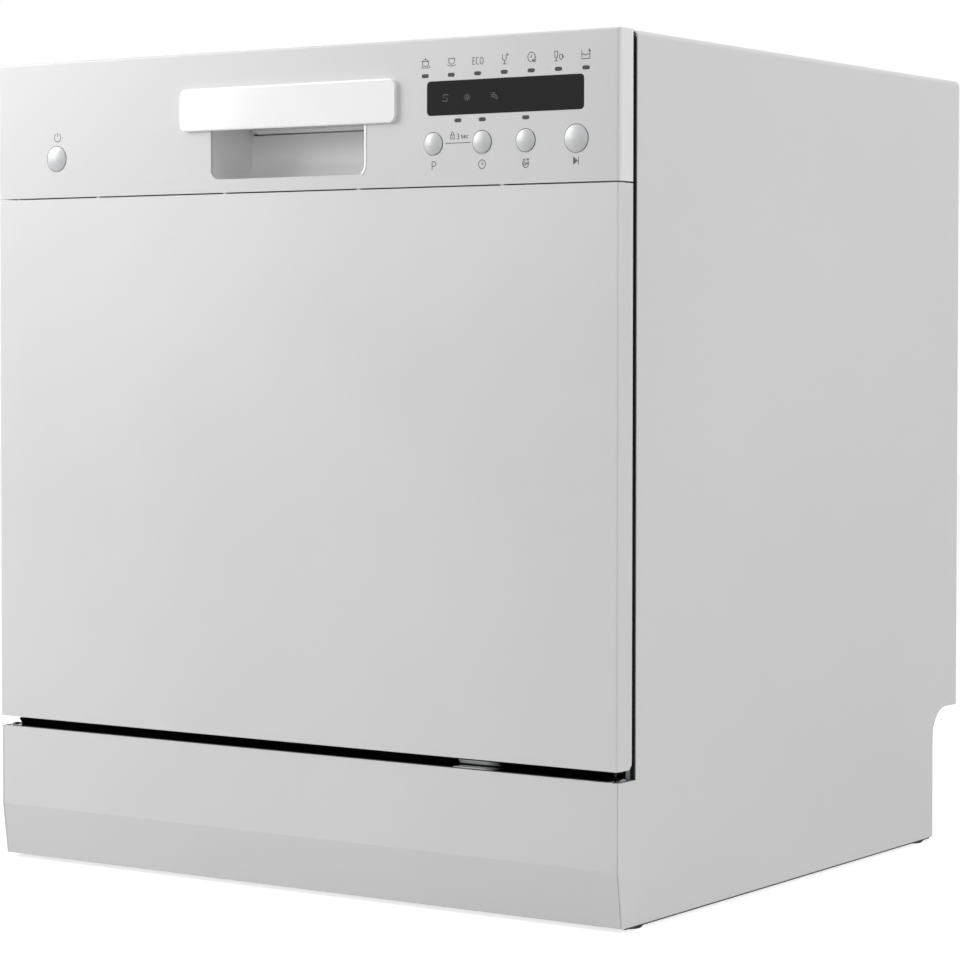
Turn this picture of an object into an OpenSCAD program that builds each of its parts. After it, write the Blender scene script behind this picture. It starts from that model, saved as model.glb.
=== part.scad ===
// Countertop dishwasher with a drop-down door, two pull-out baskets and two spray arms.
// The origin is the middle of the footprint on the worktop: X right, Y to the back, Z up.

/* [Cabinet] */
// Overall width of the cabinet and of the door
body_w = 550; // [540:5:600]
// Depth from the door's front face to the rear panel
body_d = 500; // [490:5:560]
// Overall height above the worktop
body_h = 595; // [590:5:650]
// Thickness of the painted steel sheets
sheet_t = 1; // [0.8:0.1:1.2]
// Outer radius of the bends along the cabinet's top edges
wrap_bend_r = 4; // [2:0.5:8]
// Height of the panels' lower edges above the worktop
panel_lift = 3.1; // [2.5:0.1:6]
// Gap between the back of the door's side face and the cabinet's front edge
cabinet_gap = 5.2; // [4:0.1:6]
// Width of the folded flange round the cabinet's front edge
flange_w = 8; // [6:0.5:9]
// Depth of the recess low down at the back
notch_d = 40.5; // [36:0.5:50]
// Height of the recess above the worktop
notch_h = 103; // [90:1:110]
// Radius of the bend at the top of the recess
notch_r = 22; // [12:1:28]
// Height of the raised ribs pressed into the rear panel
emboss_h = 1.5; // [1:0.1:2.5]
// How far the rubber feet stand out below the tray
foot_proud = 1.5; // [1:0.1:2]
// Radius of a rubber foot
foot_r = 10; // [9:0.5:14]
// Height of the plastic base tray's walls
tray_h = 60; // [45:1:64]
// Wall and floor thickness of the base tray
tray_t = 2.5; // [2:0.1:3.5]

/* [Kick plate] */
// Gap between the door's lower edge and the kick plate
kick_gap = 7.6; // [6:0.1:9]
// How far the kick plate sits behind the door's front face
kick_set = 1.8; // [1.5:0.1:2.5]
// Height at which the kick plate starts to lean back
kick_bend_z = 41; // [30:1:60]
// How far the kick plate's lower edge leans back
kick_lean = 4.9; // [2:0.1:6]
// Depth of the kick plate's top flange
kick_flange = 10; // [8:0.5:10.5]

/* [Door] */
// Height of the door's lower edge above the worktop
door_lift = 107.5; // [105:0.5:115]
// Depth of the door's visible side face
door_side_d = 17.5; // [15:0.5:19]
// Thickness of the whole door, down to its stainless liner
door_t = 54; // [52:0.5:58]
// Height of the control console
console_h = 100; // [96:1:110]
// Gap between the console and the door panel
seam_gap = 1; // [0.6:0.1:2]
// Radius of the door's soft outer edges
edge_r = 1.5; // [0.8:0.1:2.5]
// Wall thickness of the console moulding
console_t = 2.5; // [2.4:0.1:3]
// Distance of the hinge pins behind the door's front face
pivot_in = 12; // [11.5:0.1:12.5]
// Distance of the hinge pins below the door's lower edge
pivot_drop = 14; // [13.8:0.1:15]
// Radius of a hinge pin
hinge_pin_r = 4; // [3:0.1:4.5]
// Thickness of a steel hinge arm
arm_t = 2.5; // [2:0.1:3]
// Radial running clearance of pins and axles
run_gap = 0.05; // [0.02:0.01:0.08]
// Gap between pieces that move past each other
move_gap = 0.35; // [0.3:0.05:0.5]
// Gap between pieces that are seated on each other
seat_gap = 0.2; // [0.1:0.05:0.3]

/* [Handle] */
// Width of the raised handle plate
plate_w = 191; // [170:1:220]
// Height of the raised handle plate
plate_h = 30.4; // [26:0.2:36]
// Height of the plate's lower edge above the console's lower edge
plate_lift = 44; // [38:0.5:48]
// How far the plate stands out in front of the door
plate_proud = 3; // [2:0.1:5]
// Corner radius of the plate
plate_r = 6; // [3:0.5:10]
// Width of the finger pocket
pocket_w = 137; // [110:1:150]
// Depth of the finger pocket from the door's front face
pocket_d = 47; // [36:0.5:48]
// Height of the pocket's floor above the console's lower edge
pocket_lift = 9.5; // [7:0.5:14]
// Corner radius of the pocket
pocket_r = 7; // [4:0.5:10]
// Radius of the scoop between the pocket's floor and its back
scoop_r = 16; // [10:1:20]

/* [Controls] */
// Distance of the display window's middle from the door's middle
window_x = 184.2; // [180:0.5:190]
// Width of the display window
window_w = 127; // [110:1:140]
// Height of the display window
window_h = 23; // [18:0.5:26]
// Height of the window's middle above the console's lower edge
window_lift = 59.2; // [57:0.2:62]
// Radius of the three programme buttons
button_r = 7.75; // [6:0.05:8.5]
// Radius of the start button and of the power button
start_r = 9.4; // [8:0.05:10]
// How far a button travels when it is pressed
button_travel = 1.2; // [0.8:0.1:1.6]
// Height of the button row above the console's lower edge
button_lift = 28.6; // [26:0.2:31]
// Width of an indicator lens
lens_w = 5.5; // [4:0.1:7]
// Height of an indicator lens
lens_h = 2.3; // [1.6:0.1:3]

/* [Tub] */
// Inner width of the stainless tub
tub_w = 500; // [490:1:504]
// Gap between the tub's ceiling and the top of the cabinet
tub_top_gap = 33; // [31:1:45]
// Gap between the tub's back and the rear panel
tub_back_gap = 23.5; // [20:0.5:30]
// Thickness of the stainless sheet
tub_t = 1; // [0.8:0.1:1.2]
// Corner radius of the tub's ceiling
tub_r = 20; // [10:1:30]
// How much the tub's mouth is wider than the tub on each side
mouth_step = 12; // [11:0.5:13]
// Thickness of the rubber door seal
seal_t = 5; // [4:0.5:7]
// Gap between the door's liner and the tub's mouth
liner_gap = 3; // [2.5:0.1:3.5]
// Height of the mouth's sill above the hinge pins
sill_lift = 16.5; // [16:0.5:18]

/* [Baskets] */
// Radius of the thin basket wires
wire_r = 1.5; // [1.2:0.1:2]
// Radius of the thick rim wires
rim_r = 2.5; // [2:0.1:3]
// Height of the lower basket's floor above the tub's floor
lower_lift = 36; // [34:1:40]
// Height of the lower basket's walls
lower_wall_h = 105; // [70:1:130]
// Height of the upper basket's floor above the tub's floor
upper_lift = 289; // [270:1:295]
// Height of the upper basket's walls
upper_wall_h = 82; // [60:1:90]
// Gap between the baskets' front and the door's liner
basket_front_gap = 20; // [18:1:30]
// Gap between the baskets' back and the tub's back
basket_back_gap = 19; // [17:1:24]
// Gap between the baskets' side wires and the tub's sides
basket_side_gap = 22; // [21:0.5:24]
// Number of wires across each basket
cross_wires = 9; // [5:1:12]
// Number of wires along each basket
long_wires = 10; // [6:2:12]
// Radius of a lower basket wheel
wheel_r = 15; // [12:0.5:16]
// Radius of an upper basket roller
roller_r = 9; // [7:0.5:10]
// Height of a plate tine
tine_h = 62; // [40:1:80]
// Depth of the folding cup shelf
shelf_d = 72; // [50:1:78]

/* [Water] */
// Length of the lower spray arm from its hub to a tip
lower_arm_l = 186; // [150:1:190]
// Length of the upper spray arm from its hub to a tip
upper_arm_l = 172; // [140:1:185]
// Radius of a spray arm's bearing pin
arm_pin_r = 6; // [5:0.5:8]
// Radius of the filter cup
cup_r = 30; // [24:0.5:34]
// Radius of the threaded water inlet nipple
inlet_r = 13.2; // [13:0.1:13.3]
// Length of the inlet nipple behind the recess wall
inlet_l = 15; // [12:0.5:20]
// Radius of the drain spigot
drain_r = 9.5; // [8:0.5:11]
// Length of the drain spigot behind the recess wall
drain_l = 24; // [18:1:30]

/* [Hidden] */
$fn = 48;

// The cabinet's own planes
half_w = body_w / 2;
front_y = plate_proud - (body_d + plate_proud) / 2;
back_y = front_y + body_d;
inner_half = half_w - sheet_t;
cabinet_y = front_y + door_side_d + cabinet_gap;
kick_y = front_y + kick_set;
kick_top = door_lift - kick_gap;
notch_y = back_y - notch_d;
rear_y = back_y - emboss_h;

// The hinge axis and the door's planes
pivot_y = front_y + pivot_in;
pivot_z = door_lift - pivot_drop;
console_z = body_h - console_h;
liner_y = front_y + door_t;
eye_r = hinge_pin_r + 4;
arm_x = inner_half - 2.3 - arm_t;
spring_top_r = 26;
spring_angle = 50;
spring_wire_r = 0.8;
spring_r = 4;
spring_turns = 9;
spring_x = arm_x - 5.2;
spring_y = pivot_y + spring_top_r * cos(spring_angle);
spring_pin_r = 1.2;
horn_z = pivot_z - spring_top_r * sin(spring_angle);
spring_z1 = horn_z - spring_pin_r - spring_wire_r - 0.1;
spring_z0 = foot_proud + tray_t + 9;
neck_in = pivot_drop - kick_gap + 0.8;
neck_out = neck_in + 4.6;

// The tub, whose floor is level with the open door's liner
tub_half = tub_w / 2;
tub_top = body_h - tub_top_gap;
tub_back_y = back_y - tub_back_gap;
step_y = liner_y + seal_t;
tub_floor_z = pivot_z + door_t - pivot_in + 0.5;
tub_mid_y = (step_y + tub_back_y) / 2;
mouth_half = tub_half + mouth_step;
mouth_top = tub_top + mouth_step;
sill_z = pivot_z + sill_lift;
liner_half = mouth_half - liner_gap;
liner_top = mouth_top - liner_gap;
liner_bottom = sill_z + liner_gap + 0.5;
flange_z = kick_top + move_gap;
tray_half = inner_half - 0.8;
tray_z = foot_proud;
tray_floor = tray_z + tray_t;
rib_h = 4;
rib_pitch = 35;
foot_z = tray_floor + rib_h + seat_gap;

// The baskets
basket_half = tub_half - basket_side_gap;
basket_front = liner_y + basket_front_gap;
basket_back = tub_back_y - basket_back_gap;
basket_mid = (basket_front + basket_back) / 2;
basket_d = basket_back - basket_front;
lower_z = tub_floor_z + lower_lift;
upper_z = tub_floor_z + upper_lift;
weld = 0.1;
bend_r = 8;
wall_inset = 18;
pitch_x = (2 * basket_half - 2 * bend_r - 2 * wall_inset) / (long_wires - 1);
pitch_y = (basket_d - 2 * bend_r - 2 * wall_inset) / (cross_wires - 1);
wheel_z = tub_floor_z + move_gap + wheel_r;
wheel_w = 8;
wheel_x = basket_half + 9;
wheel_pin_r = 3;
front_wheel_y = cross_y(2.5);
rear_wheel_y = cross_y(cross_wires - 1.5);
roller_w = 7;
roller_pin_r = 3;
rail_z = upper_z + 40;
roller_x = tub_half - roller_w - 1.7;
front_roller_y = step_y + 16;
rear_roller_y = front_roller_y + 52;
rail_t = 1.2;
rail_front = basket_front - 6;
shelf_z = upper_z + 48;
shelf_x = basket_half - 8;
shelf_l = 190;
shelf_bar_r = 2;

// The wash system
arm_thick = 11;
side_tuck = 0.05;
lower_arm_z = tub_floor_z + 13;
upper_arm_z = upper_z - 30;
feed_r = 6;
feed_z = upper_z - wire_r - feed_r - 1;
tank_z = 170;
duct_w = 30;
duct_d = 10;
duct_top = feed_z + 14;
sump_x = 92;
sump_y = tub_mid_y - 92;
sump_r = cup_r + 22;
sump_z = 34;
bowl_r = sump_r - 8;
foot_bottom = tub_floor_z - 38;
spray_foot_r = 16;
hose_z = tub_floor_z - 22;
salt_x = -140;
salt_y = tub_mid_y - 60;
salt_r = 30;
salt_flange = 2;
pump_x = 40;
pump_y = tub_mid_y + 95;
pump_r = 34;
pump_l = 92;
pump_z = foot_z + pump_r + 6.3;
hose_r = 12;
hose_wall = 2.5;
spigot_r = hose_r - hose_wall - seat_gap;
thin_hose_r = 8;
thin_wall = 2;
thin_spigot_r = thin_hose_r - thin_wall - seat_gap;
heater_x = pump_x - 100;
heater_y = tub_mid_y - 49;
heater_l = 110;
drain_pump_r = 20;
drain_pump_x = sump_x + bowl_r + 4;
drain_pump_z = sump_z + 16;
inlet_x = -170;
drain_x = -90;
valve_z = 48;

// The door's fittings
plate_mid_x = -0.3;
pocket_mid_x = -1.2;
plate_z = console_z + plate_lift;
pocket_z = console_z + pocket_lift;
pocket_back = front_y + pocket_d;
lever_z = plate_z;
lever_top = plate_z + plate_h - 4.4;
lever_t = 3;
lever_pin_y = pocket_back - lever_t / 2;
lever_pin_z = lever_top - 2.4;
lever_pin_r = 1.5;
window_z = console_z + window_lift;
window_t = 1.4;
button_z = console_z + button_lift;
power_x = -217.1;
program_x = window_x - 58.3;
delay_x = window_x - 18;
function_x = window_x + 17.3;
start_x = window_x + 57.6;
upper_lens_z = window_z + window_h / 2 + 4;
lower_lens_z = window_z - window_h / 2 - 3.9;
lens_pitch = 21.7;
board_y = front_y + 12;
dispenser_z = 345;
dispenser_x = -10;
dispenser_w = 178;
dispenser_h = 112;
dispenser_d = 30;
dispenser_rim = 3.5;
cup_w = 76;
cup_h = 58;
cup_x = dispenser_x - 42;
lid_t = 2.5;
lid_pin_r = 1.2;
lid_pin_x = cup_x - cup_w / 2 - 7;
lid_pin_y = liner_y + dispenser_rim + 2.4;
rinse_x = dispenser_x + 56;
rinse_z = dispenser_z + 22;
rinse_r = 17;

// Y of the cross wire n of a basket, and X of its long wire n
function cross_y(n) = basket_front + bend_r + wall_inset + n * pitch_y;
function long_x(n) = -basket_half + bend_r + wall_inset + n * pitch_x;

// A box between two opposite corners
module block(from, to) { translate(from) cube(to - from); }

// A Y-Z outline carried along X
module along_x(x0, x1) { translate([x0, 0, 0]) rotate([90, 0, 90]) linear_extrude(x1 - x0) children(); }

// An X-Z outline carried along Y
module along_y(y0, y1) { translate([0, y1, 0]) rotate([90, 0, 0]) linear_extrude(y1 - y0) children(); }

// An X-Y outline carried along Z
module along_z(z0, z1) { translate([0, 0, z0]) linear_extrude(z1 - z0) children(); }

// A rectangle between two corners, with round corners
module round_rect(from, to, r) {
  w = to.x - from.x;
  h = to.y - from.y;
  translate(from) {
    translate([r, 0]) square([w - 2 * r, h]);
    translate([0, r]) square([w, h - 2 * r]);
    for (x = [r, w - r], y = [r, h - r]) translate([x, y]) circle(r);
  }
}

// A straight round bar between two points
module bar(from, to, r) {
  v = to - from;
  translate(from) rotate([0, acos(v.z / norm(v)), atan2(v.y, v.x)]) cylinder(h = norm(v), r = r);
}

// Round bars along X, Y and Z
module bar_x(x0, x1, y, z, r) { bar([x0, y, z], [x1, y, z], r); }
module bar_y(x, y0, y1, z, r) { bar([x, y0, z], [x, y1, z], r); }
module bar_z(x, y, z0, z1, r) { bar([x, y, z0], [x, y, z1], r); }

// A quarter bend in round bar, turning from the -X side up to +Z about its own centre
module quarter_bend(bend, r) { rotate([90, 0, 0]) rotate_extrude(angle = 90) translate([bend, 0]) circle(r); }

// Two circles joined by straight sides, which are tucked a hair inside the common tangents
module tangent_bar(length, big, small) {
  a = acos((big - small) / length);
  from = (big - side_tuck) * [cos(a), sin(a)];
  to = [length, 0] + (small - side_tuck) * [cos(a), sin(a)];
  circle(big);
  translate([length, 0]) circle(small);
  polygon([from, to, [to.x, -to.y], [from.x, -from.y]]);
}

// The same piece on the right and, mirrored, on the left
module both_sides() {
  children();
  mirror([1, 0, 0]) children();
}

// Side view of the cabinet's side panel: front tab below the door, recess low at the back
module side_outline(inset = 0) {
  top = body_h - inset;
  difference() {
    polygon([
      [cabinet_y, top], [cabinet_y, kick_top], [kick_y + inset, kick_top],
      [kick_y + inset, kick_bend_z], [kick_y + kick_lean + inset, panel_lift],
      [notch_y - inset, panel_lift], [notch_y - inset, notch_h - notch_r],
      [notch_y - inset + notch_r, notch_h + inset],
      [back_y - inset, notch_h + inset], [back_y - inset, top],
    ]);
    translate([notch_y - inset + notch_r, notch_h + inset - notch_r]) circle(notch_r);
  }
}

// One folded sheet: two sides and the top, with a narrow flange folded in round the front
module cabinet_wrap() {
  color("#d9dadc") {
    intersection() {
      along_y(kick_y - 1, back_y + 1) difference() {
        union() {
          translate([-half_w, 0]) square([body_w, body_h - wrap_bend_r]);
          translate([-half_w + wrap_bend_r, 0]) square([body_w - 2 * wrap_bend_r, body_h]);
          for (x = [-1, 1]) translate([x * (half_w - wrap_bend_r), body_h - wrap_bend_r]) circle(wrap_bend_r);
        }
        translate([-inner_half, -1]) square([2 * inner_half, body_h - wrap_bend_r + 1]);
        translate([-half_w + wrap_bend_r, 0]) square([body_w - 2 * wrap_bend_r, body_h - sheet_t]);
        for (x = [-1, 1])
          translate([x * (half_w - wrap_bend_r), body_h - wrap_bend_r]) circle(wrap_bend_r - sheet_t);
      }
      along_x(-half_w - 1, half_w + 1) side_outline();
    }
    difference() {
      along_y(cabinet_y, cabinet_y + sheet_t) flange_outline(inner_half + sheet_t / 2, body_h - sheet_t / 2);
      hinge_slots();
    }
  }
}

// The upside-down U of the front flange, as seen from the front
module flange_outline(half, top) {
  difference() {
    translate([-half, flange_z]) square([2 * half, top - flange_z]);
    translate([-inner_half + flange_w, 0]) square([2 * (inner_half - flange_w), body_h - sheet_t - flange_w]);
    for (x = [-1, 1]) translate([x * half_w, body_h]) rotate(45) square(2 * wrap_bend_r, center = true);
  }
}

// Slots in the front flange through which the hinge arms reach back to their springs
module hinge_slots() {
  both_sides() block(
    [arm_x - 1.2, cabinet_y - 5, flange_z - 5],
    [arm_x + arm_t + 1.2, cabinet_y + 5, pivot_z + 21]
  );
}

// Black foam strip stuck on the front flange, which darkens the gap behind the door
module edge_strip() {
  color("#151515") difference() {
    along_y(cabinet_y - 1.2, cabinet_y) flange_outline(half_w - 0.6, body_h - 0.6);
    hinge_slots();
  }
}

// Pressed steel back with two raised fields, vent slots, and a stepped lower part in the recess
module rear_panel() {
  in = inner_half - seat_gap;
  top = body_h - sheet_t - seat_gap;
  color("#c9cbcd") difference() {
    union() {
      along_x(-in, in) {
        translate([rear_y - sheet_t, notch_h + sheet_t]) square([sheet_t, top - notch_h - sheet_t]);
        recess_sheet();
      }
      along_y(rear_y - sheet_t, back_y) raised_fields(0);
    }
    along_y(rear_y - 2 * sheet_t, rear_y + emboss_h - sheet_t) raised_fields(sheet_t);
    for (x = [-1, 1]) along_y(rear_y - 2, back_y + 1)
      translate([x * half_w, body_h]) rotate(45) square(2 * wrap_bend_r, center = true);
    for (n = [0:13]) along_y(notch_y - 9, notch_y + 9)
      round_rect([60 + 12 * n, 26], [65 + 12 * n, 66], 2.4);
    bar_y(inlet_x, notch_y - 9, notch_y + 9, valve_z, inlet_r + 1);
    bar_y(drain_x, notch_y - 9, notch_y + 9, valve_z, drain_r + 1);
    bar_y(-235, notch_y - 9, notch_y + 9, valve_z, 6);
  }
  color("#1c1c1c") cable_gland();
}

// Section of the sheet that lines the recess
module recess_sheet() {
  difference() {
    union() {
      translate([notch_y - sheet_t, panel_lift + seat_gap]) square([sheet_t, notch_h - notch_r - panel_lift]);
      translate([notch_y + notch_r - sheet_t, notch_h])
        square([rear_y - notch_y - notch_r + sheet_t, sheet_t]);
      intersection() {
        translate([notch_y + notch_r, notch_h - notch_r]) circle(notch_r + sheet_t);
        translate([notch_y - sheet_t, notch_h - notch_r]) square(notch_r + sheet_t);
      }
    }
    translate([notch_y + notch_r, notch_h - notch_r]) circle(notch_r);
  }
}

// The two raised fields of the rear panel, drawn smaller by inset
module raised_fields(inset) {
  for (x = [-1, 1])
    translate([x * body_w / 4, (notch_h + body_h) / 2])
      round_rect([-95 + inset, -170 + inset], [95 - inset, 170 - inset], 18 - inset);
}

// Moulded gland in the recess where a mains lead would enter
module cable_gland() {
  difference() {
    union() {
      bar_y(-235, notch_y - sheet_t - 4, notch_y + 1, valve_z, 5.8);
      bar_y(-235, notch_y, notch_y + 4, valve_z, 10);
    }
    bar_y(-235, notch_y - 40, notch_y + 40, valve_z, 3.8);
  }
}

// Section of the kick plate's sheet, moved back by shift
module kick_front(shift) {
  polygon([
    [kick_y + shift, kick_top], [kick_y + shift, kick_bend_z], [kick_y + kick_lean + shift, panel_lift],
    [kick_y + 30, panel_lift], [kick_y + 30, kick_top],
  ]);
}

// Painted steel plinth with a top flange and a bottom flange
module kick_plate() {
  in = inner_half - move_gap;
  color("#d4d5d7") {
    along_x(-in, in) difference() {
      kick_front(0);
      kick_front(sheet_t);
    }
    block(
      [-arm_x + 4, kick_y + sheet_t / 2, kick_top - sheet_t],
      [arm_x - 4, kick_y + kick_flange, kick_top]
    );
    block(
      [-in, kick_y + kick_lean + sheet_t / 2, panel_lift],
      [in, kick_y + kick_lean + 9, panel_lift + sheet_t]
    );
  }
}

// Glossy black rail below the door, with a thin apron over the kick plate's top flange
module sill_trim() {
  y = pivot_y;
  z = pivot_z;
  back = cabinet_y + sheet_t;
  half = inner_half - flange_w - 0.3;
  color("#101010") difference() {
    along_x(-half, half) {
      polygon([[y - 2, z + 11.3], [y - 0.6, z + 11.9], [back, z + 10], [back, z + 3], [y + 3.2, z + 4.4]]);
      translate([kick_y + 0.8, kick_top + 0.1]) square([y + 2 - kick_y - 0.8, 0.5]);
    }
    along_x(-half - 1, half + 1)
      polygon([[y + 0.6, z + 9.6], [back - 2.5, z + 8], [back - 2.5, z + 5], [y + 3.8, z + 6]]);
  }
}

// Open moulded tray that carries the pumps, ribbed, with a post for each door spring
module base_tray() {
  y0 = kick_y + kick_lean + 9 + 0.5;
  y1 = notch_y - sheet_t - 0.6;
  color("#1b1b1b") {
    difference() {
      block([-tray_half, y0, tray_z], [tray_half, y1, tray_h]);
      block([-tray_half + tray_t, y0 + tray_t, tray_floor], [tray_half - tray_t, y1 - tray_t, tray_h + 1]);
      block([-tray_half + 30, y1 - 9, 24], [tray_half - 30, y1 + 9, tray_h + 1]);
    }
    block([-tray_half, kick_y + kick_lean + 7, tray_z], [tray_half, y0 + 1, panel_lift - seat_gap]);
    for (n = [-7:7])
      block([n * rib_pitch - 1, y0 + 1, tray_floor - 0.5], [n * rib_pitch + 1, y1 - 1, tray_floor + rib_h]);
    both_sides() translate([spring_x, spring_y, tray_floor - 0.5]) {
      cylinder(h = spring_z0 - spring_wire_r - seat_gap - tray_floor + 0.5, r = spring_r + 1);
      cylinder(h = spring_z0 + 10 - tray_floor, r = spring_r - spring_wire_r - 0.4);
    }
  }
}

// Four round rubber feet under the tray
module rubber_feet() {
  x = half_w - foot_r - 1;
  color("#0d0d0d") both_sides() for (y = [kick_y + 19 + foot_r, notch_y - 6 - foot_r]) translate([x, y, 0])
    rotate_extrude() polygon([[0, 0], [foot_r - 1.2, 0], [foot_r, 1.1], [foot_r, tray_z], [0, tray_z]]);
}

// The tub's inner outline as seen from the front, drawn larger by extra
module tub_outline(extra) {
  r = tub_r + extra;
  half = tub_half + extra;
  top = tub_top + extra;
  translate([-half, tub_floor_z - tub_t]) square([2 * half, top - r - tub_floor_z + tub_t]);
  translate([-half + r, tub_floor_z - tub_t]) square([2 * (half - r), top - tub_floor_z + tub_t]);
  for (x = [-1, 1]) translate([x * (half - r), top - r]) circle(r);
}

// Stainless sheet folded into the tub's sides and ceiling, with two pressed ribs on each side
module tub_wrap() {
  color("#b9bcc0") along_y(step_y + tub_t, tub_back_y) difference() {
    tub_outline(tub_t);
    tub_outline(0);
    translate([-tub_half, tub_floor_z - 2 * tub_t]) square([tub_w, 4 * tub_t]);
  }
}

// Flat back of the tub, with a pressed frame
module tub_back() {
  color("#b4b7bb") {
    along_y(tub_back_y + seat_gap, tub_back_y + seat_gap + tub_t) tub_outline(tub_t + 6);
  }
}

// Stainless tub floor with its holes for the sump, the spray arm's foot and the salt cap
module tub_floor() {
  color("#b9bcc0") difference() {
    block(
      [-tub_half + seat_gap, step_y + tub_t, tub_floor_z - tub_t],
      [tub_half - seat_gap, tub_back_y, tub_floor_z]
    );
    translate([sump_x, sump_y, tub_floor_z - 5]) cylinder(h = 10, r = sump_r + seat_gap);
    translate([0, tub_mid_y, tub_floor_z - 5]) cylinder(h = 10, r = spray_foot_r + seat_gap);
    translate([salt_x, salt_y, tub_floor_z - 5]) cylinder(h = 10, r = salt_r + 6 + seat_gap);
    block(
      [-duct_w / 2 - 0.5, tub_back_y - duct_d - 1, tub_floor_z - 5],
      [duct_w / 2 + 0.5, tub_back_y + 1, tub_floor_z + 5]
    );
  }
}

// Mouth of the tub as seen from the front, drawn larger by extra
module mouth_outline(extra) {
  r = tub_r + extra;
  half = mouth_half + extra;
  top = mouth_top + extra;
  translate([-half, sill_z - extra]) square([2 * half, top - r - sill_z + extra]);
  translate([-half + r, sill_z - extra]) square([2 * (half - r), top - sill_z + 2 * extra - extra]);
  for (x = [-1, 1]) translate([x * (half - r), top - r]) circle(r);
}

// Stainless frame round the tub's mouth: a front ring, a sleeve and the step for the seal
module tub_frame() {
  y0 = cabinet_y + sheet_t + seat_gap;
  color("#aeb1b5") {
    along_y(y0, y0 + tub_t) difference() {
      translate([-arm_x + 1.2, flange_z + 1])
        square([2 * (arm_x - 1.2), body_h - sheet_t - flange_w + 1 - flange_z]);
      mouth_outline(0);
    }
    along_y(y0, step_y + tub_t) difference() {
      mouth_outline(tub_t);
      mouth_outline(0);
    }
    along_y(step_y, step_y + tub_t) difference() {
      mouth_outline(tub_t / 2);
      tub_outline(0);
      translate([-tub_half, tub_floor_z - 1]) square([tub_w, 2]);
    }
    latch_strike();
  }
}

// Steel loop welded under the frame's top edge, which the door's latch closes on
module latch_strike() {
  difference() {
    block([-9, cabinet_y + 6, mouth_top - 7], [9, step_y - 8, mouth_top + 0.5]);
    block([-6, cabinet_y + 9, mouth_top - 8], [6, step_y - 11, mouth_top - 2]);
  }
}

// Moulded rubber seal on the step, with a hollow lip that the door's liner closes on
module door_seal() {
  color("#3a3b3d") difference() {
    along_y(liner_y + 0.3, step_y) difference() {
      mouth_outline(-0.6);
      seal_hole(0);
    }
    along_y(liner_y + 1.4, step_y - 1.2) difference() {
      mouth_outline(-4);
      seal_hole(1.4);
    }
  }
}

// Opening inside the seal
module seal_hole(extra) {
  half = tub_half + extra;
  top = tub_top + extra;
  translate([-half, tub_floor_z - 11.5 - extra]) square([2 * half, top - 20 - tub_floor_z + 11.5 + extra]);
  translate([-half + 20, tub_floor_z]) square([2 * (half - 20), top - tub_floor_z]);
  for (x = [-1, 1]) translate([x * (half - 20), top - 20]) circle(20);
}

// Steel brackets on the tray's walls, each with the hinge pin riveted in
module hinge_brackets() {
  x0 = arm_x + arm_t + 0.4;
  color("#9fa2a6") both_sides() {
    along_x(x0, x0 + 1.6)
      round_rect([pivot_y - 6.5, tray_h + seat_gap], [pivot_y + 34, pivot_z + 6.5], 6);
    block(
      [tray_half - tray_t - 1.5, pivot_y + 8, tray_h - 26],
      [tray_half - tray_t - 0.1, pivot_y + 34, tray_h]
    );
    block([tray_half - tray_t - 1.5, pivot_y + 8, tray_h + seat_gap], [x0 + 1, pivot_y + 34, tray_h + 2]);
    block(
      [tray_half - tray_t - 1.5, pivot_y + 8, tray_h - 1],
      [tray_half - tray_t - 0.1, pivot_y + 34, tray_h + 2]
    );
    bar_x(arm_x - 2.5, x0 + 0.8, pivot_y, pivot_z, hinge_pin_r);
    bar_x(arm_x - 2.5, arm_x - 0.5, pivot_y, pivot_z, hinge_pin_r + 1.5);
  }
}

// One tension spring's coil, swept as a six-sided tube round a helix
module coil(z0, z1, turns) {
  rings = 8;
  sides = 6;
  n = turns * rings;
  function at(i) = let (a = 360 * i / rings) [spring_r * cos(a), spring_r * sin(a), z0 + (z1 - z0) * i / n];
  points = [
    for (i = [0:n], s = [0:sides - 1])
      let (a = 360 * i / rings, b = 360 * s / sides, out = spring_wire_r * cos(b))
        at(i) + [out * cos(a), out * sin(a), spring_wire_r * sin(b)]
  ];
  walls = [
    for (i = [0:n - 1], s = [0:sides - 1])
      let (a = i * sides + s, b = i * sides + (s + 1) % sides)
        each [[a, a + sides, b], [b, a + sides, b + sides]]
  ];
  ends = [
    for (s = [1:sides - 2]) each [[0, s, s + 1], [n * sides, n * sides + s + 1, n * sides + s]]
  ];
  polyhedron(points, concat(walls, ends));
}

// Two tension springs between the hinge arms' horns and the base tray
module door_springs() {
  color("#8c8f93") both_sides() translate([spring_x, spring_y, 0])
    coil(spring_z0, spring_z1, spring_turns);
}

// Plastic blocks on the tub's sides, each with two roller pins
module roller_mounts() {
  color("#e3e4e4") both_sides() {
    along_x(tub_half - 1.3, tub_half - 0.1)
      round_rect([front_roller_y - 12, rail_z - 10], [rear_roller_y + 12, rail_z + 10], 5);
    for (y = [front_roller_y, rear_roller_y]) {
      bar_x(roller_x - 1.4, tub_half - 1, y, rail_z, roller_pin_r);
      bar_x(roller_x - 1.4, roller_x - 0.4, y, rail_z, roller_pin_r + 1.2);
    }
  }
}

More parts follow.
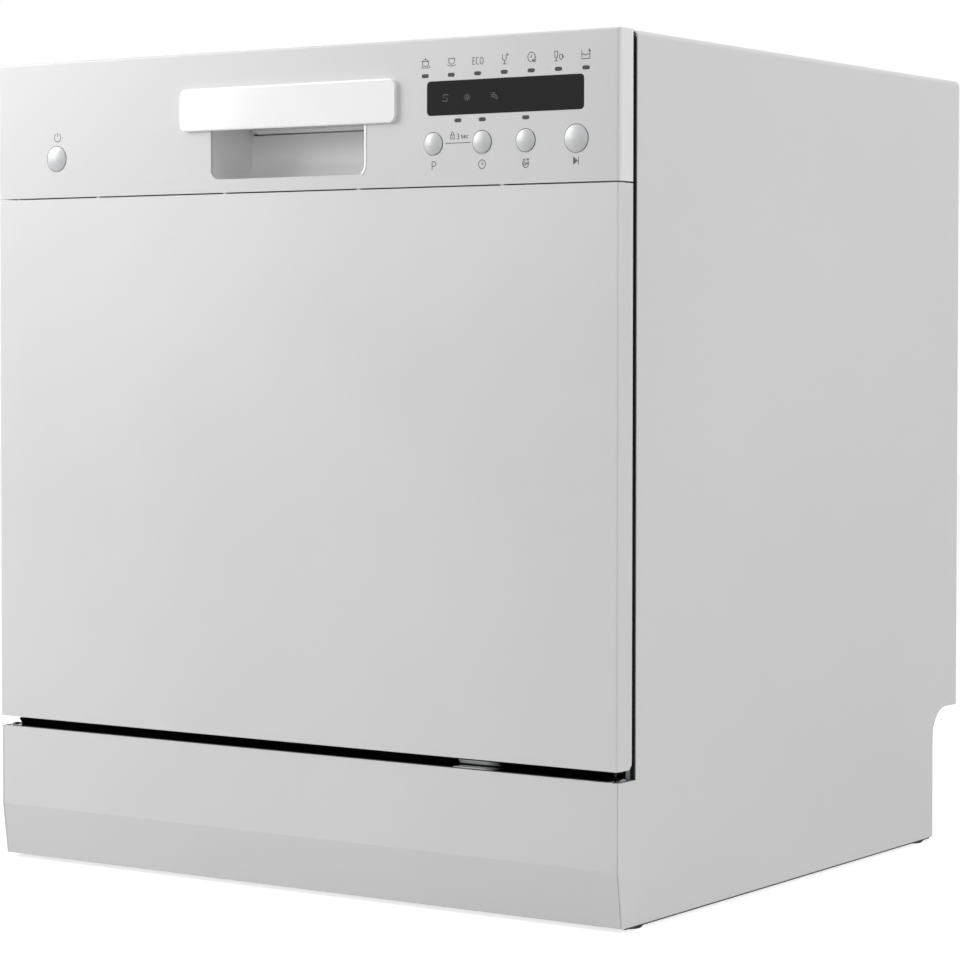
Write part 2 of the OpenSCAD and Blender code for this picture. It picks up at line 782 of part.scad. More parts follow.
// Moulded bowl under the tub floor with its suction spigot, and the lower spray arm's foot and nut
module sump() {
  color("#4a4d50") {
    difference() {
      union() {
        translate([sump_x, sump_y, 0]) {
          translate([0, 0, sump_z]) cylinder(h = tub_floor_z - sump_z, r = bowl_r);
          translate([0, 0, tub_floor_z - 12]) cylinder(h = 12, r = sump_r);
          translate([0, 0, foot_z]) for (a = [0:90:270]) rotate(a + 45)
            translate([bowl_r - 8, 0, 0]) cylinder(h = sump_z - foot_z + 2, r = 5);
        }
        bar_x(sump_x - bowl_r - 14, sump_x - bowl_r + 4, sump_y, pump_z, spigot_r);
      }
      bar_x(sump_x - bowl_r - 20, sump_x, sump_y, pump_z, spigot_r - 2.5);
      translate([sump_x, sump_y, sump_z + 4]) cylinder(h = tub_floor_z, r = cup_r + move_gap);
      translate([sump_x, sump_y, tub_floor_z - 5]) cylinder(h = 20, r = sump_r - 5);
    }
    translate([0, tub_mid_y, foot_bottom]) difference() {
      cylinder(h = tub_floor_z + 2 - foot_bottom, r = spray_foot_r);
      translate([0, 0, -1]) cylinder(h = tub_floor_z - 8 - foot_bottom, r = 9);
    }
    bar_z(0, tub_mid_y, tub_floor_z + 1, lower_arm_z + arm_thick + 6, arm_pin_r);
    bar_z(0, tub_mid_y, tub_floor_z + 1, lower_arm_z - move_gap, arm_pin_r + 5);
    bar_z(0, tub_mid_y, lower_arm_z + arm_thick + move_gap, lower_arm_z + arm_thick + 5, arm_pin_r + 4);
  }
}

// Stainless strainer plate around the filter cup, with rings of slots
module flat_filter() {
  z = tub_floor_z - 5;
  color("#a5a8ac") translate([sump_x, sump_y, z + seat_gap]) difference() {
    cylinder(h = 1.6, r = sump_r - 5 - seat_gap);
    translate([0, 0, -1]) cylinder(h = 4, r = cup_r + move_gap);
    for (n = [0:23]) rotate(15 * n) translate([cup_r + 4, -1, -1]) cube([10, 2, 4]);
  }
}

// Filter cup that twists out of the sump, with windows in its wall and a grip on top
module filter_cup() {
  z0 = sump_z + 4 + move_gap;
  z1 = tub_floor_z + 1;
  color("#6a7076") translate([sump_x, sump_y, 0]) {
    difference() {
      translate([0, 0, z0]) cylinder(h = z1 - z0, r = cup_r);
      translate([0, 0, z0 + 2]) cylinder(h = 100, r = cup_r - 2);
      for (n = [0:5], z = [10, 52]) rotate(60 * n) translate([cup_r - 5, -9, z0 + z]) cube([10, 18, 34]);
    }
    difference() {
      translate([0, 0, z1 - 3]) cylinder(h = 3, r = cup_r - 1);
      for (n = [0:5]) rotate(60 * n) translate([14, 0, z1 - 5]) cylinder(h = 9, r = 4.5);
    }
    difference() {
      translate([-cup_r + 9, -2, z1 - 1]) cube([2 * cup_r - 18, 4, 10]);
      translate([0, 5, z1 + 4.5]) rotate([90, 0, 0]) cylinder(h = 10, r = 3);
    }
  }
}

// Salt container of the water softener, whose neck passes through the tub floor
module softener_tank() {
  z0 = foot_z;
  color("#c8cbd0") difference() {
    union() {
      translate([salt_x - 75, salt_y - 45, z0]) along_z(0, 92) round_rect([0, 0], [120, 110], 14);
      translate([salt_x, salt_y, z0 + 90]) cylinder(h = tub_floor_z + 1 - z0 - 90, r = salt_r + 4);
      translate([salt_x, salt_y, tub_floor_z]) cylinder(h = salt_flange, r = salt_r + 6);
      for (n = [0:4]) translate([salt_x - 76.2, salt_y - 34 + 20 * n, z0 + 8]) cube([123, 4, 70]);
    }
    translate([salt_x, salt_y, z0 + 30]) cylinder(h = 200, r = salt_r + move_gap);
  }
}

// Screw cap of the salt container, with a grip bar
module salt_cap() {
  z = tub_floor_z + salt_flange + move_gap;
  color("#8d949b") translate([salt_x, salt_y, 0]) {
    translate([0, 0, tub_floor_z - 8]) cylinder(h = z - tub_floor_z + 9, r = salt_r);
    difference() {
      translate([0, 0, z]) cylinder(h = 4, r = salt_r + 5);
      for (n = [0:17]) rotate(20 * n) translate([salt_r + 6, 0, z - 1]) cylinder(h = 9, r = 2);
    }
    translate([-salt_r + 4, -2.5, z + 3]) cube([2 * salt_r - 8, 5, 4]);
  }
}

// Motor can of the circulation pump, with cooling ribs and its impeller housing
module circulation_pump() {
  y0 = pump_y - 20;
  color("#33363a") difference() {
    union() {
      bar_x(pump_x, pump_x + pump_l, pump_y, pump_z, pump_r);
      bar_x(pump_x - 26, pump_x + 1, pump_y, pump_z, pump_r + 6);
      for (n = [0:5]) bar_x(pump_x + 14 + 12 * n, pump_x + 17 + 12 * n, pump_y, pump_z, pump_r + 2);
      block([pump_x + 8, y0, foot_z], [pump_x + pump_l - 8, y0 + 40, pump_z]);
      bar_x(pump_x - 25, pump_x - 40, pump_y, pump_z, spigot_r);
      bar_z(pump_x - 12, pump_y, pump_z, pump_z + pump_r + 20, spigot_r);
    }
    bar_x(pump_x - 22, pump_x - 2, pump_y, pump_z, pump_r - 2);
    bar_x(pump_x - 60, pump_x - 20, pump_y, pump_z, spigot_r - 2.5);
    bar_z(pump_x - 12, pump_y, pump_z, pump_z + 90, spigot_r - 2.5);
    bar_x(pump_x - 5, pump_x + pump_l - 6, pump_y, pump_z, 4 + run_gap);
  }
}

// Pump impeller with curved blades on its motor shaft
module pump_rotor() {
  x0 = pump_x - 19;
  color("#d8d4c8") {
    bar_x(x0, pump_x + pump_l - 8, pump_y, pump_z, 4);
    bar_x(pump_x - 6, pump_x - 4, pump_y, pump_z, pump_r - 6);
    translate([x0, pump_y, pump_z]) rotate([0, 90, 0]) for (n = [0:5]) rotate(60 * n) difference() {
      intersection() {
        translate([14, 4, 0]) cylinder(h = 14, r = 14);
        cylinder(h = 14, r = pump_r - 7);
      }
      translate([14.5, 6, -1]) cylinder(h = 16, r = 13);
    }
  }
}

// Small drain pump clipped on the sump
module drain_pump() {
  x = drain_pump_x;
  z = drain_pump_z;
  color("#e0e1e0") {
    bar_x(x, x + 52, sump_y, z, drain_pump_r);
    bar_x(x - 4 + seat_gap, x + 1, sump_y, z, 11);
    block([x + 8, sump_y - 14, foot_z], [x + 40, sump_y + 14, z]);
    for (n = [0:3]) bar_x(x + 8 + 11 * n, x + 11 + 11 * n, sump_y, z, drain_pump_r + 1.5);
    bar_z(x + 26, sump_y, z, z + drain_pump_r + 14, thin_spigot_r);
  }
}

// Steel flow heater in the suction line between the sump and the pump
module flow_heater() {
  x = heater_x;
  y0 = heater_y;
  y1 = y0 + heater_l;
  color("#9a9da1") difference() {
    union() {
      bar_y(x, y0, y1, pump_z, 17);
      for (y = [y0 + 8, y1 - 16]) bar_y(x, y, y + 8, pump_z, 20);
      for (y = [y0 + 20, y1 - 40]) block([x - 14, y, foot_z], [x + 14, y + 20, pump_z]);
      bar_y(x, y0 - 14, y1 + 14, pump_z, spigot_r);
    }
    bar_y(x, y0 - 20, y1 + 20, pump_z, spigot_r - 1.5);
  }
}

// Solenoid water inlet valve whose threaded nipple stands out in the recess
module inlet_valve() {
  y0 = notch_y - sheet_t - 0.6;
  color("#e8e8e4") {
    difference() {
      union() {
        bar_y(inlet_x, y0 - 2, notch_y + 0.5, valve_z, inlet_r - 0.8);
        bar_y(inlet_x, notch_y, notch_y + inlet_l, valve_z, inlet_r);
      }
      bar_y(inlet_x, y0 + 4, notch_y + 60, valve_z, inlet_r - 4);
    }
    block([inlet_x - 20, y0 - 5, valve_z - 18], [inlet_x + 20, y0 - 1, valve_z + 18]);
    bar_y(inlet_x, y0 - 46, y0 - 4, valve_z, 15);
    block([inlet_x - 17, y0 - 42, foot_z], [inlet_x + 17, y0 - 12, valve_z]);
  }
}

// Barbed spigot for the drain hose
module drain_spigot() {
  y0 = notch_y - sheet_t - 0.6;
  color("#e8e8e4") difference() {
    union() {
      bar_y(drain_x, y0 - 34, y0 - 14, valve_z, thin_spigot_r);
      bar_y(drain_x, y0 - 20, notch_y + drain_l, valve_z, drain_r);
      bar_y(drain_x, y0 - 4, y0 - 1, valve_z, drain_r + 7);
      block([drain_x - 17, y0 - 18, foot_z], [drain_x + 17, y0 - 8, valve_z]);
      translate([drain_x, notch_y + drain_l - 5, valve_z]) rotate([-90, 0, 0])
        cylinder(h = 5, r1 = drain_r + 1.3, r2 = drain_r);
    }
    bar_y(drain_x, y0 - 40, y0 - 10, valve_z, thin_spigot_r - 1.5);
    bar_y(drain_x, y0 - 14, notch_y + 90, valve_z, drain_r - 2.5);
  }
}

// A hose along a row of points, with a moulded elbow sleeve at each corner and open ends
module hose(points, r, wall) {
  last = len(points) - 1;
  difference() {
    for (i = [0:last - 1]) {
      v = (points[i + 1] - points[i]) / norm(points[i + 1] - points[i]);
      bar(points[i], points[i + 1], r);
      if (i < last - 1) bar(points[i + 1] - v * (r + 5), points[i + 1] + v * (r + 1), r + 1.2);
    }
    for (i = [0, last]) {
      v = points[i == 0 ? 1 : last - 1] - points[i];
      bar(points[i] - v / norm(v), points[i] + v / norm(v) * 14, r - wall);
    }
  }
}

// Rubber hoses between the sump, the pumps, the heater, the tanks and the feeds
module sump_hoses() {
  rise_x = pump_x - 12;
  high = foot_bottom - 8;
  drain_turn = pump_y + 46;
  arm_foot = [0, tub_mid_y, hose_z];
  to_foot = [rise_x, pump_y, hose_z] - arm_foot;
  tank_x = -inner_half + 11;
  back = notch_y - sheet_t - 0.6;
  soft_y = salt_y + 18;
  color("#222426") {
    hose([
      [pump_x - 27, pump_y, pump_z], [heater_x, pump_y, pump_z], [heater_x, heater_y + heater_l + 1, pump_z],
    ], hose_r, hose_wall);
    hose([
      [heater_x, heater_y - 1, pump_z], [heater_x, sump_y, pump_z], [sump_x - bowl_r - 1, sump_y, pump_z],
    ], hose_r, hose_wall);
    hose([
      [rise_x, pump_y, pump_z + pump_r + 7], [rise_x, pump_y, hose_z],
      arm_foot + to_foot / norm(to_foot) * (spray_foot_r + seat_gap + 0.1),
    ], hose_r, hose_wall);
    hose([
      [rise_x, pump_y + hose_r, hose_z], [rise_x, pump_y + 30, hose_z],
      [0, pump_y + 70, hose_z], [0, tub_back_y - duct_d - 2 * seat_gap, hose_z],
    ], thin_hose_r, thin_wall);
    hose([
      [drain_pump_x + 26, sump_y, drain_pump_z + drain_pump_r + 2.5], [drain_pump_x + 26, sump_y, high],
      [drain_pump_x + 26, drain_turn, high], [drain_x, drain_turn, high], [drain_x, drain_turn, valve_z],
      [drain_x, back - 21, valve_z],
    ], thin_hose_r, thin_wall);
    hose([
      [inlet_x, back - 46.3, valve_z], [inlet_x, tub_mid_y + 110, valve_z],
      [inlet_x, tub_mid_y + 110, foot_bottom + 12], [tank_x, tub_mid_y + 110, foot_bottom + 12],
      [tank_x, tub_mid_y + 110, tank_z - seat_gap],
    ], 6, 1.5);
    hose([
      [tank_x, soft_y, tank_z - seat_gap], [tank_x, soft_y, 80], [salt_x - 75 - seat_gap, soft_y, 80],
    ], 6, 1.5);
  }
}

// Flat moulded tank beside the tub that measures and vents the inlet water
module side_tank() {
  x0 = -inner_half + 1;
  x1 = -tub_half - tub_t - 0.8;
  y0 = tub_mid_y - 90;
  color("#dfe3e6") {
    along_x(x0, x1 - 1.5) round_rect([y0, tank_z], [y0 + 230, tank_z + 300], 16);
    for (n = [0:5]) along_x(x0 + 1, x1)
      round_rect([y0 + 20 + 36 * n, tank_z + 20], [y0 + 26 + 36 * n, tank_z + 280], 2.9);
    block([x0 + 1, y0 + 110, tray_h + seat_gap], [x0 + 9, y0 + 140, tank_z + 10]);
  }
}

// Flat water duct up the tub's back, ending in a nozzle that feeds the upper basket's pipe
module feed_duct() {
  y1 = tub_back_y - seat_gap;
  color("#8f959b") {
    block([-duct_w / 2, y1 - duct_d, hose_z - thin_hose_r], [duct_w / 2, y1, duct_top]);
    translate([0, y1 - duct_d / 2, duct_top]) rotate([90, 0, 0]) translate([0, 0, -duct_d / 2])
      cylinder(h = duct_d, r = duct_w / 2);
  }
}

// Painted steel front of the door: a shallow pan with returned sides
module door_panel() {
  top = console_z - seam_gap;
  x = half_w;
  color("#dcdddf") difference() {
    union() {
      along_z(door_lift, top) difference() {
        union() {
          translate([-x, front_y + edge_r]) square([body_w, door_side_d - edge_r]);
          translate([-x + edge_r, front_y]) square([body_w - 2 * edge_r, door_side_d]);
          for (s = [-1, 1]) translate([s * (x - edge_r), front_y + edge_r]) circle(edge_r);
        }
        translate([-inner_half, front_y + sheet_t]) square([2 * inner_half, door_side_d - 2 * sheet_t]);
        translate([-inner_half + 2, front_y + sheet_t]) square([2 * inner_half - 4, door_side_d]);
      }
      for (z = [door_lift, top - sheet_t])
        block([-x + edge_r, front_y + 0.5, z], [x - edge_r, front_y + 9, z + sheet_t]);
    }
    along_x(-x - 1, x + 1)
      translate([front_y + door_side_d, door_lift]) rotate(45) square(4.2, center = true);
    both_sides() block(
      [arm_x - 0.6, front_y + 3, door_lift - 1],
      [x - 1.2, front_y + door_side_d + 1, door_lift + 1.2]
    );
  }
}

// The console's outer block with soft front edges
module console_block() {
  x = half_w;
  z0 = console_z;
  intersection() {
    along_z(z0, body_h) {
      translate([-x, front_y + edge_r]) square([body_w, door_side_d - edge_r]);
      translate([-x + edge_r, front_y]) square([body_w - 2 * edge_r, door_side_d]);
      for (s = [-1, 1]) translate([s * (x - edge_r), front_y + edge_r]) circle(edge_r);
    }
    along_x(-x, x) {
      translate([front_y, z0]) square([door_side_d, console_h - edge_r]);
      translate([front_y + edge_r, z0]) square([door_side_d - edge_r, console_h]);
      translate([front_y + edge_r, body_h - edge_r]) circle(edge_r);
    }
  }
}

// Space inside the finger pocket, drawn larger by extra
module pocket_space(extra) {
  x0 = pocket_mid_x - pocket_w / 2 - extra;
  x1 = pocket_mid_x + pocket_w / 2 + extra;
  z1 = plate_z + plate_h - 6;
  back = pocket_back + extra;
  r = scoop_r;
  intersection() {
    along_y(front_y - 10, back) round_rect([x0, pocket_z - extra], [x1, z1 + extra], pocket_r + extra);
    along_x(x0, x1) {
      translate([front_y - 10, pocket_z - extra])
        square([pocket_d + extra + 10 - r, z1 + 2 * extra - pocket_z]);
      translate([front_y - 10, pocket_z - extra + r])
        square([back - front_y + 10, z1 + 2 * extra - pocket_z - r]);
      translate([back - r, pocket_z - extra + r]) circle(r);
    }
  }
}

// Moulded console with the finger pocket, the window's recess and the button holes
module console() {
  color("#dfe0e2") {
    difference() {
      union() {
        difference() {
          console_block();
          block(
            [-half_w + console_t, front_y + console_t, console_z + console_t],
            [half_w - console_t, front_y + door_side_d + 1, body_h - console_t]
          );
          block(
            [-half_w + console_t, front_y + 9, console_z - 1],
            [half_w - console_t, front_y + door_side_d + 1, console_z + console_t + 1]
          );
        }
        difference() {
          pocket_space(2);
          block([-half_w, front_y - 20, console_z], [half_w, front_y + 1, body_h]);
        }
      }
      pocket_space(0);
      lever_window();
      along_y(front_y - 1, front_y + window_t + seat_gap) window_outline(seat_gap);
      translate([pocket_mid_x, lever_pin_y, lever_pin_z]) rotate([0, 90, 0])
        cylinder(h = pocket_w + 2.8, r = lever_pin_r + run_gap, center = true);
      for (b = button_places()) button_hole(b.x, b.y);
      lens_places(seat_gap, -1, console_t + 1);
    }
    for (x = [-177.3, -57.5, 61.7, 182.1])
      block([x - 1.6, front_y + 0.8, console_z - seam_gap + 0.1], [x + 1.6, front_y + 6, console_z + 0.5]);
    for (x = [program_x - 12, start_x + 14], z = [button_z - 10, upper_lens_z + 2])
      bar_y(x, front_y + 1, board_y - seat_gap, z, 3);
    for (s = [-1, 1]) bar_y(power_x + 11.5 * s, front_y + 1, board_y - seat_gap, button_z + 11.5 * s, 2.2);
  }
}

// Place and radius of each button, as [x, radius]
function button_places() = [
  [power_x, start_r], [program_x, button_r], [delay_x, button_r], [function_x, button_r], [start_x, start_r],
];

// Round hole for one button, with the shallow ring that frames it
module button_hole(x, r) {
  bar_y(x, front_y - 1, front_y + 9, button_z, r - 1 + move_gap);
  bar_y(x, front_y - 1, front_y + button_travel + 0.3, button_z, r + 0.3);
}

// The opening behind the handle plate through which the latch lever shows
module lever_window() {
  x = pocket_w / 2 - 1;
  z1 = plate_z + plate_h;
  block([pocket_mid_x - x, pocket_back - 1, lever_z - 1], [pocket_mid_x + x, pocket_back + 3, z1]);
  block([pocket_mid_x - x, pocket_back - 6, z1 - 14], [pocket_mid_x + x, pocket_back + 3, z1]);
}

// Outline of the display window, drawn larger by extra
module window_outline(extra) {
  round_rect(
    [window_x - window_w / 2 - extra, window_z - window_h / 2 - extra],
    [window_x + window_w / 2 + extra, window_z + window_h / 2 + extra], 3
  );
}

// All ten indicator lenses as pills from front_y + from to front_y + to, drawn larger by extra
module lens_places(extra, from, to) {
  upper = [for (n = [-3:3]) [window_x + n * lens_pitch, upper_lens_z]];
  lower = [for (x = [-37.9, -17.9, 17.4]) [window_x + x, lower_lens_z]];
  half = (lens_w - lens_h) / 2;
  r = lens_h / 2 + extra;
  for (p = concat(upper, lower)) translate([p.x, 0, p.y]) along_y(front_y + from, front_y + to) {
    square([2 * half, 2 * r], center = true);
    for (x = [-half, half]) translate([x, 0]) circle(r);
  }
}

// White gloss plate that closes the top of the pocket and is the door's handle
module handle_plate() {
  x0 = plate_mid_x - plate_w / 2;
  x1 = plate_mid_x + plate_w / 2;
  y0 = front_y - plate_proud;
  r = 1.2;
  color("#f7f7f7") {
    intersection() {
      along_y(y0, front_y) round_rect([x0, plate_z], [x1, plate_z + plate_h], plate_r);
      along_x(x0, x1) {
        translate([y0, plate_z + r]) square([plate_proud, plate_h - 2 * r]);
        translate([y0 + r, plate_z]) square([plate_proud - r, plate_h]);
        for (z = [r, plate_h - r]) translate([y0 + r, plate_z + z]) circle(r);
      }
    }
    intersection() {
      along_y(front_y - 0.1, front_y + 4)
        round_rect([x0 + 30, plate_z + 1], [x1 - 30, plate_z + plate_h - 1], 5);
      pocket_space(-seat_gap);
    }
  }
}

// Stainless inner door: a deep pan with an outer flange, the dispenser's opening and the latch slot
module door_liner() {
  y1 = liner_y;
  y0 = front_y + door_side_d - 2;
  edge = arm_x - 0.8;
  color("#b4b7bb") difference() {
    union() {
      along_y(y0, y1) liner_outline(0);
      along_y(y0, y0 + 0.8)
        translate([-edge, door_lift + 2]) square([2 * edge, body_h - console_t - 2.3 - door_lift]);
    }
    along_y(y0 - 1, y1 - 0.8) liner_outline(0.8);
    along_y(y1 - 5, y1 + 5) round_rect(
      [dispenser_x - dispenser_w / 2 + 3, dispenser_z - dispenser_h / 2 + 3],
      [dispenser_x + dispenser_w / 2 - 3, dispenser_z + dispenser_h / 2 - 3], 12
    );
    block([-16, y1 - 30, mouth_top - 12], [16, y1 + 5, mouth_top + 5]);
  }
}

// Front view of the liner, drawn smaller by inset
module liner_outline(inset) {
  round_rect(
    [-liner_half + inset, liner_bottom + inset],
    [liner_half - inset, liner_top - inset], 16 - inset
  );
}

// Steel arms in the door's sides, which turn on pins and neck back over the kick plate to a spring horn
module hinge_arms() {
  low = pivot_drop + 1.5;
  front = 3 - pivot_in;
  back = door_side_d - pivot_in - 1.6;
  color("#8e9195") both_sides() {
    along_x(arm_x, arm_x + arm_t) difference() {
      union() {
        translate([pivot_y, pivot_z]) {
          circle(eye_r);
          rotate(-spring_angle) tangent_bar(spring_top_r, eye_r, 3.6);
          polygon([
            [neck_in, -3], [neck_out, 1], [neck_out, pivot_drop], [neck_out - 3, low + 4.5],
            [back, low + 9], [front, low + 9], [front, low], [neck_in, low],
          ]);
        }
        translate([front_y + 3, door_lift + 6]) square([door_side_d - 4.6, 84]);
      }
      translate([pivot_y, pivot_z]) circle(hinge_pin_r + run_gap);
    }
    block([liner_half - 6, front_y + 4, door_lift + 40], [arm_x + 0.5, front_y + 6, door_lift + 80]);
    block([liner_half - 3.2, front_y + 4, door_lift + 40], [liner_half - 1, liner_y - 12, door_lift + 80]);
    bar_x(spring_x - 0.4, arm_x + 0.5, spring_y, horn_z, spring_pin_r);
  }
}

// Dark glossy display window
module display_window() {
  color("#1c1c1d") along_y(front_y + 0.1, front_y + window_t) window_outline(0);
}

// Smoked lenses of the ten indicator lamps
module indicator_lenses() { color("#4e4e50") lens_places(0, 0.1, console_t); }

// Circuit board with its switches, lamps and display block
module control_board() {
  x0 = program_x - 18;
  x1 = start_x + 19;
  back = board_y + 1.6;
  color("#2f6a3c") block([x0, board_y, button_z - 16], [x1, back, upper_lens_z + 8]);
  color("#202224") {
    block([window_x - 52, front_y + 4.6, window_z - 9], [window_x + 52, board_y, window_z + 9]);
    for (b = button_places()) if (b.x > 0)
      block([b.x - 3, front_y + 8.2, button_z - 3], [b.x + 3, board_y, button_z + 3]);
    block([window_x - 30, back, button_z - 8], [window_x + 10, back + 3, button_z + 6]);
  }
  color("#2f6a3c") block([power_x - 14, board_y, button_z - 14], [power_x + 14, back, button_z + 14]);
  color("#202224") block([power_x - 3, front_y + 8.2, button_z - 3], [power_x + 3, board_y, button_z + 3]);
}

// A domed button cap of radius r on its stem, at x in the button row
module button(x, r) {
  stem = 8 - button_travel - move_gap;
  crown = 1.9;
  ball = (r * r + crown * crown) / (2 * crown);
  color("#e9eaeb") translate([x, front_y, button_z]) rotate([90, 0, 0]) {
    intersection() {
      translate([0, 0, crown + 0.2 - ball]) sphere(ball);
      translate([0, 0, 0.05]) cylinder(h = crown + 1, r = r - 0.25);
    }
    translate([0, 0, -4]) cylinder(h = 4.2, r = r - 1);
    translate([0, 0, -stem]) cylinder(h = stem, r = 2.4);
  }
}

// Recessed dispenser with the detergent cup and the rinse aid filler
module dispenser_body() {
  x0 = dispenser_x - dispenser_w / 2;
  x1 = dispenser_x + dispenser_w / 2;
  z0 = dispenser_z - dispenser_h / 2;
  z1 = dispenser_z + dispenser_h / 2;
  color("#c9cdd1") difference() {
    union() {
      along_y(liner_y + seat_gap, liner_y + dispenser_rim) round_rect([x0, z0], [x1, z1], 14);
      along_y(liner_y - dispenser_d, liner_y + 1) round_rect([x0 + 4, z0 + 4], [x1 - 4, z1 - 4], 11);
    }
    along_y(liner_y - dispenser_d + 3, liner_y + 20)
      round_rect(
        [cup_x - cup_w / 2, dispenser_z - cup_h / 2],
        [cup_x + cup_w / 2, dispenser_z + cup_h / 2], 9
      );
    bar_y(rinse_x, liner_y - 14, liner_y + 20, rinse_z, rinse_r + move_gap);
  }
  color("#c9cdd1") for (z = [dispenser_z - 33, dispenser_z + 27]) difference() {
    union() {
      block([lid_pin_x - 3, liner_y + dispenser_rim - 1, z], [lid_pin_x + 3, lid_pin_y, z + 6]);
      bar_z(lid_pin_x, lid_pin_y, z, z + 6, 3);
    }
    bar_z(lid_pin_x, lid_pin_y, z - 1, z + 7, lid_pin_r + run_gap);
  }
}

// Flap of the detergent cup, which swings open on a pin at its left edge
module dispenser_lid() {
  y0 = lid_pin_y - lid_t / 2;
  x0 = lid_pin_x + 3 + move_gap;
  x1 = cup_x + cup_w / 2 + 4;
  color("#9ba1a8") {
    along_y(y0, y0 + lid_t)
      round_rect([x0, dispenser_z - cup_h / 2 - 3.4], [x1, dispenser_z + cup_h / 2 + 3.4], 3);
    block([lid_pin_x, y0, dispenser_z - 25], [x0 + 4, y0 + lid_t, dispenser_z + 25]);
    bar_z(lid_pin_x, lid_pin_y, dispenser_z - 26, dispenser_z + 26, 2);
    bar_z(lid_pin_x, lid_pin_y, dispenser_z - 33.5, dispenser_z + 33.5, lid_pin_r);
    for (n = [0:2]) block(
      [x1 - 18 + 5 * n, y0 + 1, dispenser_z - 18], [x1 - 16 + 5 * n, y0 + lid_t + 1.2, dispenser_z + 18]
    );
  }
}

// Quarter-turn cap of the rinse aid filler
module rinse_cap() {
  y0 = liner_y + dispenser_rim + move_gap;
  color("#7f98b4") {
    bar_y(rinse_x, liner_y - 10, y0 + 1, rinse_z, rinse_r);
    bar_y(rinse_x, y0, y0 + 3, rinse_z, rinse_r + 4);
    block([rinse_x - rinse_r + 2, y0 + 2, rinse_z - 2], [rinse_x + rinse_r - 2, y0 + 6, rinse_z + 2]);
  }
}

// Latch lever: the flap at the pocket's back that fingers pull, hung on a pin in the pocket's walls
module latch_lever() {
  x = pocket_w / 2 - 1 - move_gap;
  pin = pocket_w / 2 + 1;
  color("#d6d7d9") {
    along_y(pocket_back - lever_t, pocket_back)
      round_rect([pocket_mid_x - x, lever_z], [pocket_mid_x + x, lever_top - 1], 5);
    along_x(pocket_mid_x - x + 6, pocket_mid_x + x - 6)
      round_rect([pocket_back - 2 * lever_t, lever_z], [pocket_back, lever_z + 5], 2.4);
    bar_x(pocket_mid_x - x, pocket_mid_x + x, lever_pin_y, lever_pin_z, 2.4);
    bar_x(pocket_mid_x - pin, pocket_mid_x + pin, lever_pin_y, lever_pin_z, lever_pin_r);
  }
}

// Wires of one basket: a floor grid in two layers and the wall wires, each bent up at its foot
module basket_wires(z, wall_h) {
  top = z + wall_h - rim_r - weld;
  for (n = [0:cross_wires - 1]) {
    y = cross_y(n);
    bar_x(-basket_half + bend_r + weld, basket_half - bend_r - weld, y, z, wire_r);
    both_sides() {
      translate([basket_half - bend_r, y, z + bend_r]) mirror([0, 0, 1]) quarter_bend(bend_r, wire_r);
      bar_z(basket_half, y, z + bend_r, top, wire_r);
    }
  }
  z2 = z + 2 * wire_r + weld;
  for (n = [0:long_wires - 1]) {
    x = long_x(n);
    bar_y(x, basket_front + bend_r + weld, basket_back - bend_r - weld, z2, wire_r);
    for (s = [-1, 1]) translate([x, basket_mid, 0]) rotate(90 * s) {
      translate([basket_d / 2 - bend_r, 0, z2 + bend_r]) mirror([0, 0, 1]) quarter_bend(bend_r, wire_r);
      bar_z(basket_d / 2, 0, z2 + bend_r, top, wire_r);
    }
  }
}

// A closed loop of round wire with bent corners, half wider than the basket's walls by out
module wire_loop(z, out, r) {
  x = basket_half + out;
  y0 = basket_front - out;
  y1 = basket_back + out;
  c = 16 + out;
  for (s = [-1, 1]) bar_y(s * x, y0 + c, y1 - c, z, r);
  for (y = [y0, y1]) bar_x(-x + c, x - c, y, z, r);
  for (p = [[x - c, y1 - c, 0], [-x + c, y1 - c, 90], [-x + c, y0 + c, 180], [x - c, y0 + c, 270]])
    translate([p.x, p.y, z]) rotate(p.z) rotate_extrude(angle = 90) translate([c, 0]) circle(r);
}

// The floor grid and wall wires of the upper basket
module upper_basket() { color("#cfd2d6") basket_wires(upper_z, upper_wall_h); }

// Rim wire and belt wire of the upper basket, and the two clips that hold the cup shelf's hinge bar
module upper_basket_rim() {
  color("#cfd2d6") {
    wire_loop(upper_z + upper_wall_h, 0, rim_r);
    wire_loop(upper_z + 14, wire_r + rim_r * 0.8 + weld, rim_r * 0.8);
  }
  color("#9aa0a6") for (y = [cross_y(3) - 4.5, cross_y(5) + 2.5]) difference() {
    block([-basket_half + wire_r + weld, y - 3.6, shelf_z - 4], [-shelf_x + 3.5, y + 3.6, shelf_z + 4]);
    bar_y(-shelf_x, y - 9, y + 9, shelf_z, shelf_bar_r + run_gap);
  }
}

// The floor grid and wall wires of the lower basket
module lower_basket() { color("#cfd2d6") basket_wires(lower_z, lower_wall_h); }

// Rim wire and belt wires of the lower basket
module lower_basket_rim() {
  color("#cfd2d6") {
    wire_loop(lower_z + lower_wall_h, 0, rim_r);
    wire_loop(lower_z + 40, wire_r + rim_r * 0.8 + weld, rim_r * 0.8);
  }
}

// Rows of upright plate tines on the lower basket's floor, and the wheel carriers
module plate_tines() {
  z0 = lower_z + 3 * wire_r + 2 * weld;
  last = long_wires - 1;
  color("#cfd2d6") for (i = [1, 3, last - 3, last - 1], j = [2:cross_wires - 2]) {
    x = long_x(i);
    y = cross_y(j + 0.5);
    translate([x, y, z0]) cylinder(h = tine_h, r = wire_r);
    translate([x, y, z0 + tine_h]) sphere(wire_r);
  }
  color("#7d8389") for (y = [front_wheel_y, rear_wheel_y]) both_sides() wheel_carrier(y);
}

